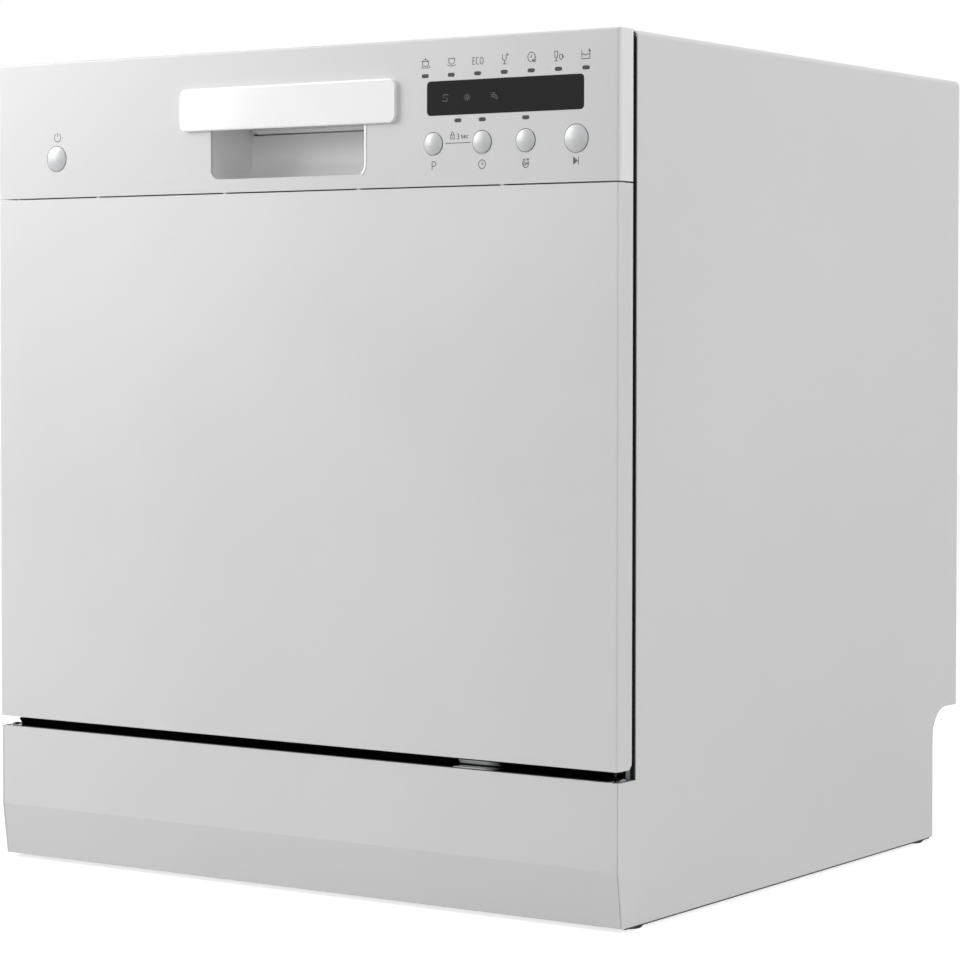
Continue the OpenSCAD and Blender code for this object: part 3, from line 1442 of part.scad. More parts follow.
// Moulded cutlery basket with slotted walls, two dividers and a handle, standing at the front
module cutlery_basket() {
  x0 = 84;
  x1 = basket_half - 12;
  y0 = basket_front + 10;
  y1 = y0 + 82;
  z0 = lower_z + 3 * wire_r + weld + seat_gap;
  z1 = z0 + 118;
  wall = 2.4;
  color("#8a9096") difference() {
    along_z(z0, z1) round_rect([x0, y0], [x1, y1], 8);
    along_z(z0 + wall, z1 + 1) difference() {
      round_rect([x0 + wall, y0 + wall], [x1 - wall, y1 - wall], 8 - wall);
      for (n = [1, 2]) translate([x0 + n * (x1 - x0) / 3 - wall / 2, y0]) square([wall, y1 - y0]);
    }
    for (n = [0:5]) along_y(y0 - 1, y1 + 1)
      round_rect([x0 + 11 + 19.6 * n, z0 + 14], [x0 + 18 + 19.6 * n, z1 - 34], 3);
    along_x(x0 - 1, x1 + 1) for (n = [0:3])
      round_rect([y0 + 11 + 17.5 * n, z0 + 14], [y0 + 18 + 17.5 * n, z1 - 34], 3);
  }
}

// Clip that hangs from the basket's side and holds one wheel's axle
module wheel_carrier(y) {
  x0 = basket_half - wire_r - weld - 3.5;
  x1 = basket_half - wire_r - weld;
  along_x(x0, x1) {
    round_rect([y - 10, wheel_z - 7], [y + 10, lower_z + 34], 4);
    round_rect([y - pitch_y / 2, lower_z + 24], [y + pitch_y / 2, lower_z + 34], 4);
  }
  bar_x(x0 + 1, wheel_x + wheel_w / 2 + 1.2, y, wheel_z, wheel_pin_r);
  bar_x(x1 - 1, wheel_x - wheel_w / 2 - 0.4, y, wheel_z, wheel_pin_r + 2);
}

// A grooved wheel with its bore, on the right and on the left
module wheel_pair(y, z, x, r, w, pin) {
  both_sides() translate([x - w / 2, y, z]) rotate([0, 90, 0]) difference() {
    rotate_extrude() polygon([
      [0, 0], [r - 1, 0], [r, 1], [r, w - 1], [r - 1, w], [pin + 3.5, w], [pin + 3, w - 1.2],
      [pin + 1.5, w - 1.2], [pin + 1.5, w], [0, w],
    ]);
    translate([0, 0, -1]) cylinder(h = w + 2, r = pin + run_gap);
    for (n = [0:5]) rotate(60 * n)
      translate([(r + pin) / 2 + 0.6, 0, -1]) cylinder(h = 2.2, r = (r - pin) / 5);
  }
}

// Front wheels of the lower basket
module front_wheels() {
  color("#e6e7e8") wheel_pair(front_wheel_y, wheel_z, wheel_x, wheel_r, wheel_w, wheel_pin_r);
}

// Rear wheels of the lower basket
module rear_wheels() {
  color("#e6e7e8") wheel_pair(rear_wheel_y, wheel_z, wheel_x, wheel_r, wheel_w, wheel_pin_r);
}

// One pair of rollers for the upper basket's rails
module roller_pair(y) {
  wheel_pair(y, rail_z, roller_x + roller_w / 2, roller_r, roller_w, roller_pin_r);
}

// Front rollers on the tub's sides, which carry the upper basket's rails
module front_rollers() {
  color("#f0f0ee") roller_pair(front_roller_y);
}

// Rear rollers on the tub's sides
module rear_rollers() {
  color("#f0f0ee") roller_pair(rear_roller_y);
}

// Stainless channels on the upper basket's sides that run on the rollers, and its feed pipe
module basket_rails() {
  web = roller_x - 1.4 - 0.6;
  lip = web + rail_t + 6;
  up = rail_z + roller_r + move_gap;
  down = rail_z - roller_r - move_gap;
  color("#a9adb1") both_sides() {
    block([web - rail_t, rail_front, down - rail_t], [web, basket_back - 2, up + rail_t]);
    block([web - 0.5, rail_front, up], [lip, basket_back - 2, up + rail_t]);
    block([web - 0.5, rail_front, down - rail_t], [lip, basket_back - 2, down]);
    for (y = [cross_y(1), cross_y(cross_wires - 2)])
      block([basket_half + wire_r + weld, y - 8, rail_z - 8], [web - rail_t + 0.5, y + 8, rail_z + 8]);
  }
  color("#8f959b") {
    bar_y(0, tub_mid_y, tub_back_y - seat_gap - duct_d - move_gap, feed_z, feed_r);
    bar_z(0, tub_mid_y, upper_arm_z - 5, feed_z, arm_pin_r);
    bar_z(0, tub_mid_y, upper_arm_z + arm_thick + move_gap, feed_z, arm_pin_r + 5);
    bar_z(0, tub_mid_y, upper_arm_z - 5, upper_arm_z - move_gap, arm_pin_r + 4);
    for (y = [cross_y(5), cross_y(cross_wires - 2)])
      block([-9, y - 5, feed_z], [9, y + 5, upper_z - wire_r - weld]);
  }
}

// Folding cup shelf: a wire comb that hinges on the upper basket's left side
module cup_shelf() {
  x1 = -shelf_x;
  x2 = x1 + shelf_d;
  y0 = basket_mid - shelf_l / 2;
  color("#cfd2d6") {
    for (x = [x1, x2]) bar_y(x, y0, y0 + shelf_l, shelf_z, shelf_bar_r);
    for (n = [0:7]) {
      y = y0 + 6 + n * (shelf_l - 12) / 7;
      bar_x(x1 + shelf_bar_r + weld, x2 - shelf_bar_r - weld, y, shelf_z, wire_r);
    }
  }
}

// A spray arm with two tapered blades, a raised spine, a hub bore and rows of jets
module spray_arm(z, length) {
  tip = 9;
  root = 24;
  reach = length - tip;
  translate([0, tub_mid_y, z]) rotate(38) difference() {
    union() {
      for (a = [0, 180]) rotate(a) along_z(0, arm_thick - 3) tangent_bar(reach, root, tip);
      for (a = [0, 180]) rotate(a)
        along_z(arm_thick - 4, arm_thick) tangent_bar(reach - 4, root - 7, tip - 4);
      cylinder(h = arm_thick, r = root - 4);
    }
    translate([0, 0, -1]) cylinder(h = arm_thick + 2, r = arm_pin_r + run_gap);
    for (a = [0, 180]) rotate(a) for (n = [1:6])
      translate([reach * (0.14 + 0.12 * n), 2, arm_thick]) cylinder(h = 3, r = 1.3, center = true);
  }
}

// Lower spray arm, free to turn on its foot
module lower_spray_arm() { color("#9aa0a6") spray_arm(lower_arm_z, lower_arm_l); }

// Upper spray arm, free to turn under the upper basket
module upper_spray_arm() { color("#9aa0a6") spray_arm(upper_arm_z, upper_arm_l); }

cabinet_wrap();
edge_strip();
rear_panel();
kick_plate();
sill_trim();
base_tray();
rubber_feet();
tub_wrap();
tub_back();
tub_floor();
tub_frame();
door_seal();
hinge_brackets();
door_springs();
roller_mounts();
sump();
flat_filter();
filter_cup();
softener_tank();
salt_cap();
circulation_pump();
pump_rotor();
drain_pump();
flow_heater();
inlet_valve();
drain_spigot();
sump_hoses();
side_tank();
feed_duct();
door_panel();
console();
handle_plate();
door_liner();
hinge_arms();
display_window();
indicator_lenses();
control_board();
dispenser_body();
dispenser_lid();
rinse_cap();
latch_lever();
button(power_x, start_r);  // power_button
button(program_x, button_r);  // program_button
button(delay_x, button_r);  // delay_button
button(function_x, button_r);  // function_button
button(start_x, start_r);  // start_button
upper_basket();
upper_basket_rim();
basket_rails();
front_rollers();
rear_rollers();
cup_shelf();
lower_basket();
lower_basket_rim();
plate_tines();
cutlery_basket();
front_wheels();
rear_wheels();
lower_spray_arm();
upper_spray_arm();
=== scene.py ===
# Looks of the countertop dishwasher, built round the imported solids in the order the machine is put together.
# Lengths are in metres; X runs to the right, Y to the back and Z up from the worktop.
import math

import bpy
import numpy as np
from mathutils import Matrix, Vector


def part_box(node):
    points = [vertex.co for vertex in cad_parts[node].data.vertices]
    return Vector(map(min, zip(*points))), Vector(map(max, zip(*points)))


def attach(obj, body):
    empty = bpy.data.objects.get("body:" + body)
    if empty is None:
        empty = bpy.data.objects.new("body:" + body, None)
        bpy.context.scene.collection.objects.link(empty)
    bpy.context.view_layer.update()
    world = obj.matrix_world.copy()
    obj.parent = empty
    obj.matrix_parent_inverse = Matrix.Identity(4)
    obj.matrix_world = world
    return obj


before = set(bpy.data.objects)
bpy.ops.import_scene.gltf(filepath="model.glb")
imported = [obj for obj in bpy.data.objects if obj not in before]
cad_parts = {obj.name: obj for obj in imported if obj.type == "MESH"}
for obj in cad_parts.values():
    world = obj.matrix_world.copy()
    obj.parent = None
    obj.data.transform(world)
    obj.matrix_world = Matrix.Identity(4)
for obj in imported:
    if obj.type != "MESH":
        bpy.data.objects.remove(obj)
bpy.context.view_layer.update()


# Camera: a long lens that stands off to the right and a little above the middle of the machine.
# The photograph is cropped, so the lens is shifted to put its axis right of and above the middle.
camera_place = (1.3453, -1.9343, 0.3929)
camera_turn, camera_dip, camera_roll = math.radians(32.952), math.radians(1.575), math.radians(0.12)
camera = bpy.data.objects.new("camera", bpy.data.cameras.new("camera"))
camera.data.lens, camera.data.sensor_width = 114.67, 36
camera.data.shift_x, camera.data.shift_y = -0.114, -0.0613
camera.data.clip_start, camera.data.clip_end = 0.05, 60
camera.matrix_world = (
    Matrix.Translation(camera_place)
    @ Matrix.Rotation(camera_turn, 4, "Z")
    @ Matrix.Rotation(math.pi / 2 - camera_dip, 4, "X")
    @ Matrix.Rotation(camera_roll, 4, "Z")
)
bpy.context.scene.collection.objects.link(camera)
bpy.context.scene.camera = camera


# Studio: a white sheet as floor, a white surround and soft lamps, at the level where paint renders as it is written.
# The surround and the floor are made white for the camera and for mirror images, not by more light on the machine.
def add(tree, kind, inputs=None, **settings):
    """Adds one shader node, sets its settings, then fills its inputs: a socket is linked, any other value is set."""
    node = tree.nodes.new(kind)
    for name, value in settings.items():
        setattr(node, name, value)
    for name, value in (inputs or {}).items():
        if isinstance(value, bpy.types.NodeSocket):
            tree.links.new(value, node.inputs[name])
        else:
            node.inputs[name].default_value = value
    return node


def seen_directly(tree):
    """1 on rays from the eye, a mirror image or clear plastic, 0 on rays that carry light: the greatest of three."""
    path = add(tree, "ShaderNodeLightPath").outputs
    mirror = add(tree, "ShaderNodeMath", {0: path["Is Glossy Ray"], 1: path["Is Transmission Ray"]},
                 operation="MAXIMUM")
    return add(tree, "ShaderNodeMath", {0: path["Is Camera Ray"], 1: mirror.outputs[0]}, operation="MAXIMUM").outputs[0]


surround = bpy.data.worlds.new("white_surround")
surround.use_nodes = True
surround_tree = surround.node_tree
surround_tree.nodes.clear()
ambient = add(surround_tree, "ShaderNodeBackground", {"Color": (1, 1, 1, 1), "Strength": 0.36})
backdrop = add(surround_tree, "ShaderNodeBackground", {"Color": (1, 1, 1, 1), "Strength": 1.0})
both = add(surround_tree, "ShaderNodeMixShader",
           {0: seen_directly(surround_tree), 1: ambient.outputs[0], 2: backdrop.outputs[0]})
add(surround_tree, "ShaderNodeOutputWorld", {"Surface": both.outputs[0]})
bpy.context.scene.world = surround

floor_half = 6.0
floor_mesh = bpy.data.meshes.new("floor")
floor_mesh.from_pydata(
    [(-floor_half, -floor_half, 0), (floor_half, -floor_half, 0), (floor_half, floor_half, 0),
     (-floor_half, floor_half, 0)], [], [(0, 1, 2, 3)],
)
floor = bpy.data.objects.new("floor", floor_mesh)
bpy.context.scene.collection.objects.link(floor)
floor_sheet = bpy.data.materials.new("white_paper_floor")
floor_sheet.use_nodes = True
floor_tree = floor_sheet.node_tree
floor_tree.nodes.clear()
paper = add(floor_tree, "ShaderNodeBsdfDiffuse", {"Color": (0.45, 0.45, 0.45, 1)})
glow = add(floor_tree, "ShaderNodeEmission", {"Color": (1, 1, 1, 1)})
lift = add(floor_tree, "ShaderNodeMath", {0: seen_directly(floor_tree), 1: 0.78}, operation="MULTIPLY")
floor_tree.links.new(lift.outputs[0], glow.inputs["Strength"])
floor_sum = add(floor_tree, "ShaderNodeAddShader", {0: paper.outputs[0], 1: glow.outputs[0]})
add(floor_tree, "ShaderNodeOutputMaterial", {"Surface": floor_sum.outputs[0]})
floor_mesh.materials.append(floor_sheet)


def soft_lamp(name, place, aim, size, power):
    """Hangs a square lamp at a place and turns its face so that it looks from there to its aim."""
    lamp = bpy.data.objects.new(name, bpy.data.lights.new(name, "AREA"))
    lamp.data.shape, lamp.data.size, lamp.data.energy = "SQUARE", size, power
    toward = np.array(aim) - np.array(place)
    across = np.cross(toward, (0, 0, 1))
    axes = [across / np.linalg.norm(across), None, -toward / np.linalg.norm(toward)]
    axes[1] = np.cross(axes[2], axes[0])
    lamp.matrix_world = Matrix.Translation(place) @ Matrix(np.array(axes).T.tolist()).to_4x4()
    bpy.context.scene.collection.objects.link(lamp)
    return lamp


soft_lamp("lamp_left", (-1.3, -1.05, 1.1), (-0.1, -0.25, 0.4), 1.0, 21)
soft_lamp("lamp_front", (0.9, -2.6, 0.9), (0.1, -0.2, 0.3), 1.0, 6)
soft_lamp("lamp_right", (2.6, 0.4, 1.1), (0.2, 0.0, 0.35), 1.6, 25)
soft_lamp("lamp_top", (0.2, -0.6, 2.6), (0.0, -0.1, 0.3), 1.8, 14)
bpy.context.scene.view_settings.view_transform = "Standard"


# Base tray and its feet: an injection-moulded polypropylene tray that carries every part of the wash system,
# on four rubber feet pressed into its corners. Fine spark-eroded grain makes both a deep, dull black.
def linear(code):
    """Linear light from an sRGB hex colour: c / 12.92 up to 0.04045, above it ((c + 0.055) / 1.055) ^ 2.4."""
    c = np.array([int(code[i:i + 2], 16) for i in (1, 3, 5)]) / 255
    return tuple(float(v) for v in np.where(c <= 0.04045, c / 12.92, ((c + 0.055) / 1.055) ** 2.4)) + (1.0,)


def start_material(name, sockets):
    """A Principled shader with constant sockets, and the object coordinates that its patterns read, in metres."""
    made = bpy.data.materials.new(name)
    made.use_nodes = True
    made.node_tree.nodes.clear()
    shader = add(made.node_tree, "ShaderNodeBsdfPrincipled", sockets)
    add(made.node_tree, "ShaderNodeOutputMaterial", {"Surface": shader.outputs[0]})
    return made, made.node_tree, shader, add(made.node_tree, "ShaderNodeTexCoord").outputs["Object"]


def uneven(tree, shader, place, dark, light, patch, rough=None):
    """Clouds the colour between two hex values, and the roughness between two numbers, in patches of a real size."""
    cloud = add(tree, "ShaderNodeTexNoise", {"Vector": place, "Scale": 1 / patch, "Detail": 3.0, "Roughness": 0.55})
    spread = add(tree, "ShaderNodeMapRange", {"Value": cloud.outputs[0], "From Min": 0.3, "From Max": 0.7}).outputs[0]
    tint = add(tree, "ShaderNodeMix", {0: spread, 6: linear(dark), 7: linear(light)}, data_type="RGBA").outputs[2]
    tree.links.new(tint, shader.inputs["Base Color"])
    if rough:
        gloss = add(tree, "ShaderNodeMapRange", {"Value": cloud.outputs[0], "From Min": 0.3, "From Max": 0.7,
                                                 "To Min": rough[0], "To Max": rough[1]})
        tree.links.new(gloss.outputs[0], shader.inputs["Roughness"])
    return tint


def grain(tree, shader, place, size, height, stretch=(1, 1, 1)):
    """Raises the surface by noise whose grains have one real size and height; stretch draws them out along an axis."""
    spot = add(tree, "ShaderNodeMapping", {"Vector": place, "Scale": stretch}).outputs[0]
    noise = add(tree, "ShaderNodeTexNoise", {"Vector": spot, "Scale": 1 / size, "Detail": 2.0, "Roughness": 0.5})
    bump = add(tree, "ShaderNodeBump", {"Height": noise.outputs[0], "Distance": height, "Strength": 1.0})
    tree.links.new(bump.outputs[0], shader.inputs["Normal"])


def dress(made, *names):
    """Puts a material in every material slot of the named CAD nodes."""
    for name in names:
        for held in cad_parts[name].material_slots:
            held.material = made


black_polypropylene, tree, shader, place = start_material("black_polypropylene", {"Roughness": 0.55, "IOR": 1.49})
uneven(tree, shader, place, "#151516", "#202021", 0.06, (0.48, 0.62))
grain(tree, shader, place, 0.0012, 0.00004)
dress(black_polypropylene, "base_tray")

moulded_rubber, tree, shader, place = start_material("moulded_rubber", {"Roughness": 0.8, "IOR": 1.52})
uneven(tree, shader, place, "#101011", "#1c1c1d", 0.02, (0.72, 0.88))
grain(tree, shader, place, 0.0008, 0.00003)
dress(moulded_rubber, "rubber_feet")


# Circulation pump and sump: black glass-filled nylon, moulded in thick ribbed walls and clipped to the tray's ribs.
# The glass fibres come to the skin and leave short pale streaks that lie along the flow of the melt.
black_nylon, tree, shader, place = start_material("glass_filled_black_nylon", {"Roughness": 0.45, "IOR": 1.53})
uneven(tree, shader, place, "#232425", "#323335", 0.012, (0.38, 0.55))
grain(tree, shader, place, 0.001, 0.00004, (1, 1, 0.3))
dress(black_nylon, "sump", "circulation_pump")

# Pump rotor: white acetal, turned and moulded on its shaft, slightly translucent and waxy to the eye.
acetal, tree, shader, place = start_material("white_acetal", {"Roughness": 0.32, "IOR": 1.48})
uneven(tree, shader, place, "#e2e0da", "#eceae6", 0.01, (0.28, 0.4))
grain(tree, shader, place, 0.001, 0.00001)
dress(acetal, "pump_rotor")

# Hoses: extruded rubber with moulded elbows, pushed on the spigots. Talc from the mould leaves them a dull charcoal.
hose_rubber, tree, shader, place = start_material("extruded_hose_rubber", {"Roughness": 0.7, "IOR": 1.52})
uneven(tree, shader, place, "#1a1b1c", "#2a2b2d", 0.035, (0.6, 0.8))
grain(tree, shader, place, 0.002, 0.00005)
dress(hose_rubber, "sump_hoses")

# Flow heater: a stainless tube with its flanges rolled on. Heat has tinted it faintly towards straw in patches.
heater_steel, tree, shader, place = start_material("heat_tinted_steel", {"Metallic": 1.0, "Roughness": 0.35})
uneven(tree, shader, place, "#a9a49a", "#b9bbbd", 0.03, (0.28, 0.42))
dress(heater_steel, "flow_heater")

# Softener tank, side tank and drain pump: polypropylene halves, welded along their edges, left in natural pale grey.
# The dull skin shows the flow of the plastic as soft clouds a few centimetres across.
pale_polypropylene, tree, shader, place = start_material("pale_polypropylene", {"Roughness": 0.45, "IOR": 1.49})
uneven(tree, shader, place, "#bfc2c4", "#cdd0d2", 0.04, (0.4, 0.52))
grain(tree, shader, place, 0.0014, 0.00003)
dress(pale_polypropylene, "softener_tank", "side_tank", "drain_pump")

# Feed duct, filter cup and salt cap: grey polypropylene that stands in the wash water, so it is a little faded.
grey_polypropylene, tree, shader, place = start_material("grey_polypropylene", {"Roughness": 0.5, "IOR": 1.49})
uneven(tree, shader, place, "#6d7377", "#7d8387", 0.03, (0.42, 0.58))
grain(tree, shader, place, 0.0014, 0.00003)
dress(grey_polypropylene, "feed_duct", "filter_cup", "salt_cap")


# Tub: cold-rolled stainless sheet, bent to a box and welded to its back, its floor and the frame of its mouth.
# The mill's rollers leave fine lines along the sheet, which stretch each highlight sideways.
brushed_stainless, tree, shader, place = start_material(
    "brushed_stainless", {"Metallic": 1.0, "Roughness": 0.3, "Anisotropic": 0.35})
uneven(tree, shader, place, "#b3b6b9", "#c6c9cc", 0.12, (0.26, 0.36))
grain(tree, shader, place, 0.0022, 0.00002, (0.04, 0.04, 1))
dress(brushed_stainless, "tub_wrap", "tub_back", "tub_floor", "tub_frame")

# Filter plate: stainless sheet, etched through with holes. They are drawn here 1.6 mm apart, coarser than in the
# real mesh, so that they show: a point is in a hole where its distance to the nearest grid point is small.
etched_steel, tree, shader, place = start_material("etched_filter_steel", {"Metallic": 1.0, "Roughness": 0.34})
tint = uneven(tree, shader, place, "#a2a5a8", "#b4b7ba", 0.02, (0.3, 0.42))
holes = add(tree, "ShaderNodeTexVoronoi", {"Vector": place, "Scale": 1 / 0.0032, "Randomness": 0.0},
            feature="F1", voronoi_dimensions="2D")
hole = add(tree, "ShaderNodeMapRange", {"Value": holes.outputs["Distance"], "From Min": 0.24, "From Max": 0.3})
pierced = add(tree, "ShaderNodeMix", {0: hole.outputs[0], 6: linear("#202122"), 7: tint}, data_type="RGBA").outputs[2]
tree.links.new(pierced, shader.inputs["Base Color"])
dress(etched_steel, "flat_filter")

# Door seal: extruded rubber with a hollow lip, pressed into the step of the tub's mouth. Its skin is smooth and dark.
seal_rubber, tree, shader, place = start_material("extruded_seal_rubber", {"Roughness": 0.62, "IOR": 1.52})
uneven(tree, shader, place, "#2b2c2e", "#37383a", 0.04, (0.55, 0.7))
grain(tree, shader, place, 0.0015, 0.00003)
dress(seal_rubber, "door_seal")

# Roller blocks: hard white acetal, screwed to the tub's sides from outside, with the pins moulded on.
dress(acetal, "roller_mounts")


# Hinges: brackets and arms are stamped from zinc-plated steel and riveted; the springs are drawn from the same wire.
# The plating has a fine spangle that breaks up its dull shine.
zinc_steel, tree, shader, place = start_material("zinc_plated_steel", {"Metallic": 1.0, "Roughness": 0.42})
uneven(tree, shader, place, "#8d9196", "#a9adb0", 0.008, (0.36, 0.5))
grain(tree, shader, place, 0.003, 0.00003)
dress(zinc_steel, "hinge_brackets", "hinge_arms", "door_springs")


# Rear panel: 0.6 mm galvanised sheet with two raised fields, coated thinly and screwed to the wrap all round.
# The thin coat lets the zinc's cloudy spangle through, and the gland that is snapped in for the mains lead is black.
back_coat, tree, shader, place = start_material("thin_back_panel_coat", {"Roughness": 0.5, "IOR": 1.5})
tint = uneven(tree, shader, place, "#cacccd", "#d3d5d6", 0.09, (0.44, 0.58))
grain(tree, shader, place, 0.0025, 0.00004)
flat = add(tree, "ShaderNodeMapping", {"Vector": place, "Scale": (1, 0, 1)}).outputs[0]
from_gland = add(tree, "ShaderNodeVectorMath", {0: flat, 1: (-0.235, 0, 0.048)}, operation="DISTANCE").outputs["Value"]
in_gland = add(tree, "ShaderNodeMath", {0: from_gland, 1: 0.0104}, operation="LESS_THAN").outputs[0]
tint = add(tree, "ShaderNodeMix", {0: in_gland, 6: tint, 7: linear("#161617")}, data_type="RGBA").outputs[2]
tree.links.new(tint, shader.inputs["Base Color"])
dress(back_coat, "rear_panel")


def new_piece(name, corners, faces, material, body, smooth=True):
    """Makes a mesh of corners and faces at the origin, gives it its material and hangs it on a body."""
    mesh = bpy.data.meshes.new(name)
    mesh.from_pydata(corners.reshape(-1, 3).tolist(), [], [tuple(int(i) for i in face) for face in faces])
    mesh.polygons.foreach_set("use_smooth", np.full(len(mesh.polygons), smooth))
    mesh.materials.append(material)
    piece = bpy.data.objects.new(name, mesh)
    bpy.context.scene.collection.objects.link(piece)
    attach(piece, body)
    return piece


def screws(name, places, face, head_r, head_h, material, body):
    """Pan heads that stand on a plane of constant Y. A head's height over (r, t) is head_h * sqrt(1 - 0.75 (r / R)^2),
    less 0.6 of it inside the cross where |r cos t| or |r sin t| is under 0.13 R and r is under 0.6 R."""
    rings, sectors = 14, 48
    r = np.linspace(0, head_r, rings + 1)[1:, None]
    t = np.linspace(0, 2 * np.pi, sectors, endpoint=False)[None, :]
    a, c = r * np.cos(t), r * np.sin(t)
    high = head_h * np.sqrt(1 - 0.75 * (r / head_r) ** 2)
    cross = (np.minimum(abs(a), abs(c)) < 0.13 * head_r) & (r < 0.6 * head_r)
    top = np.stack([a, np.where(cross, 0.4 * high, high), c], -1)
    rim = np.stack([a[-1], np.zeros(sectors), c[-1]], -1)
    one = np.concatenate([[[0, 0.4 * head_h, 0]], top.reshape(-1, 3), rim, [[0, 0, 0]]])
    step, turn = np.arange(rings)[:, None], np.arange(sectors)[None, :]
    here, there = 1 + step * sectors + turn, 1 + step * sectors + (turn + 1) % sectors
    quads = np.stack([here, here + sectors, there + sectors, there], -1).reshape(-1, 4).tolist()
    last = len(one) - 1
    fans = [(0, 1 + i, 1 + (i + 1) % sectors) for i in range(sectors)]
    fans += [(last, last - sectors + (i + 1) % sectors, last - sectors + i) for i in range(sectors)]
    spots = np.array([(x, face, z) for x, z in places])
    corners = (spots[:, None] + one[None]).reshape(-1, 3)
    faces = [[i + k * len(one) for i in f] for k in range(len(spots)) for f in quads + fans]
    return new_piece(name, corners, faces, material, body)


screw_steel, tree, shader, place = start_material("zinc_plated_screw", {"Metallic": 1.0, "Roughness": 0.3})
uneven(tree, shader, place, "#8e9195", "#a8abae", 0.003, (0.24, 0.4))
rear_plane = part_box("rear_panel")[1].y - 0.0015
sides = [(x, z) for x in (-0.2645, 0.2645) for z in (0.13, 0.25, 0.37, 0.49, 0.57)]
ends = [(x, z) for x in (-0.18, 0.0, 0.18) for z in (0.12, 0.584)]
screws("rear_panel_screws", sides + ends, rear_plane, 0.0034, 0.0013, screw_steel, "root")


# Water inlet and drain spigot: white glass-filled nylon that passes through the recess. The inlet's nipple has a
# 3/4 inch pipe thread of 14 turns to the inch, a ridge whose profile is carried along a helix.
fitting_nylon, tree, shader, place = start_material("white_fitting_nylon", {"Roughness": 0.38, "IOR": 1.53})
uneven(tree, shader, place, "#dedfdc", "#e9e9e6", 0.012, (0.32, 0.46))
grain(tree, shader, place, 0.001, 0.00002)
dress(fitting_nylon, "inlet_valve", "drain_spigot")


def carried(path, across, up, profile, closed):
    """A profile carried along a path: point (i, j) is path_i + across_i * profile_j0 + up_i * profile_j1. An open
    path gets a flat face at each end."""
    path, across, up = (np.broadcast_to(np.asarray(v, float), np.shape(path)) for v in (path, across, up))
    profile = np.asarray(profile, float)
    corners = path[:, None] + across[:, None] * profile[None, :, :1] + up[:, None] * profile[None, :, 1:]
    rows, sides = corners.shape[:2]
    step = np.arange(rows if closed else rows - 1)[:, None]
    edge = np.arange(sides)[None, :]
    here, there, nxt = step * sides, (step + 1) % rows * sides, (edge + 1) % sides
    faces = np.stack([here + edge, here + nxt, there + nxt, there + edge], -1).reshape(-1, 4).tolist()
    if not closed:
        faces += [list(range(sides))[::-1], [i + (rows - 1) * sides for i in range(sides)]]
    return corners, faces


def outward(corners, faces):
    """Turns every face round if the closed mesh's volume, the sum of a . (b x c) / 6 over its triangles, is negative."""
    flat = corners.reshape(-1, 3)
    volume = 0.0
    for k in range(1, max(len(face) for face in faces) - 1):
        some = [face for face in faces if len(face) > k + 1]
        a, b, c = (flat[[face[n] for face in some]] for n in (0, k, k + 1))
        volume += (a * np.cross(b, c)).sum()
    return faces if volume > 0 else [face[::-1] for face in faces]


thread_turns, thread_pitch, nipple_r = 7, 0.001814, 0.0132
turn = np.linspace(0, 2 * np.pi * thread_turns, thread_turns * 48 + 1)
out = np.column_stack((np.cos(turn), np.zeros_like(turn), np.sin(turn)))
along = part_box("inlet_valve")[1].y - 0.0006 - thread_pitch * (thread_turns + 0.4) + thread_pitch * turn / (2 * np.pi)
middle = np.column_stack((np.full_like(turn, -0.17), along, np.full_like(turn, 0.048)))
corners, faces = carried(middle, out, (0, 1, 0), [
    (nipple_r - 0.0003, -0.00075), (nipple_r + 0.0001, -0.00055), (nipple_r + 0.0006, -0.00012),
    (nipple_r + 0.0006, 0.00012), (nipple_r + 0.0001, 0.00055), (nipple_r - 0.0003, 0.00075)], False)
new_piece("inlet_thread", corners, outward(corners, faces), fitting_nylon, "root", smooth=False)


# Cabinet: a wrap of 1 mm steel sheet over the top and both sides, with a kick plate screwed on below the door.
# Satin polyester powder coat is nearly even, with the faint orange peel that is drawn here coarser than its 1 mm.
powder_coat, tree, shader, place = start_material("white_powder_coat", {"Roughness": 0.42, "IOR": 1.5})
uneven(tree, shader, place, "#dedede", "#e3e3e3", 0.35, (0.38, 0.46))
grain(tree, shader, place, 0.004, 0.00002)
dress(powder_coat, "cabinet_wrap", "kick_plate")

# Foam strip: black polyurethane foam, glued on the cabinet's front flange; its near-black colour is partly painted
# shade for the dark of the narrow gap.
black_foam_gap_shade, tree, shader, place = start_material("black_foam_gap_shade_strip", {"Roughness": 0.95})
uneven(tree, shader, place, "#070707", "#0e0e0e", 0.004)
grain(tree, shader, place, 0.001, 0.0002)
dress(black_foam_gap_shade, "edge_strip")


# Rail below the door: black ABS, moulded in a polished tool, with a spring-steel clip that holds it on the plinth.
# The rail mirrors the room in its slanted front; the clip is bent strip with rolled edges, painted pale as a painted
# reflection in the rail.
black_gloss, tree, shader, place = start_material("polished_black_abs", {"Roughness": 0.14, "IOR": 1.54})
uneven(tree, shader, place, "#060606", "#0b0b0b", 0.03, (0.1, 0.2))
grain(tree, shader, place, 0.01, 0.00004)
dress(black_gloss, "sill_trim")

spring_steel_painted_reflection, tree, shader, place = start_material("zinc_flake_spring_steel_painted_reflection", {"Metallic": 0.2, "Roughness": 0.55})
tint = uneven(tree, shader, place, "#dcddde", "#e4e5e6", 0.01, (0.5, 0.6))
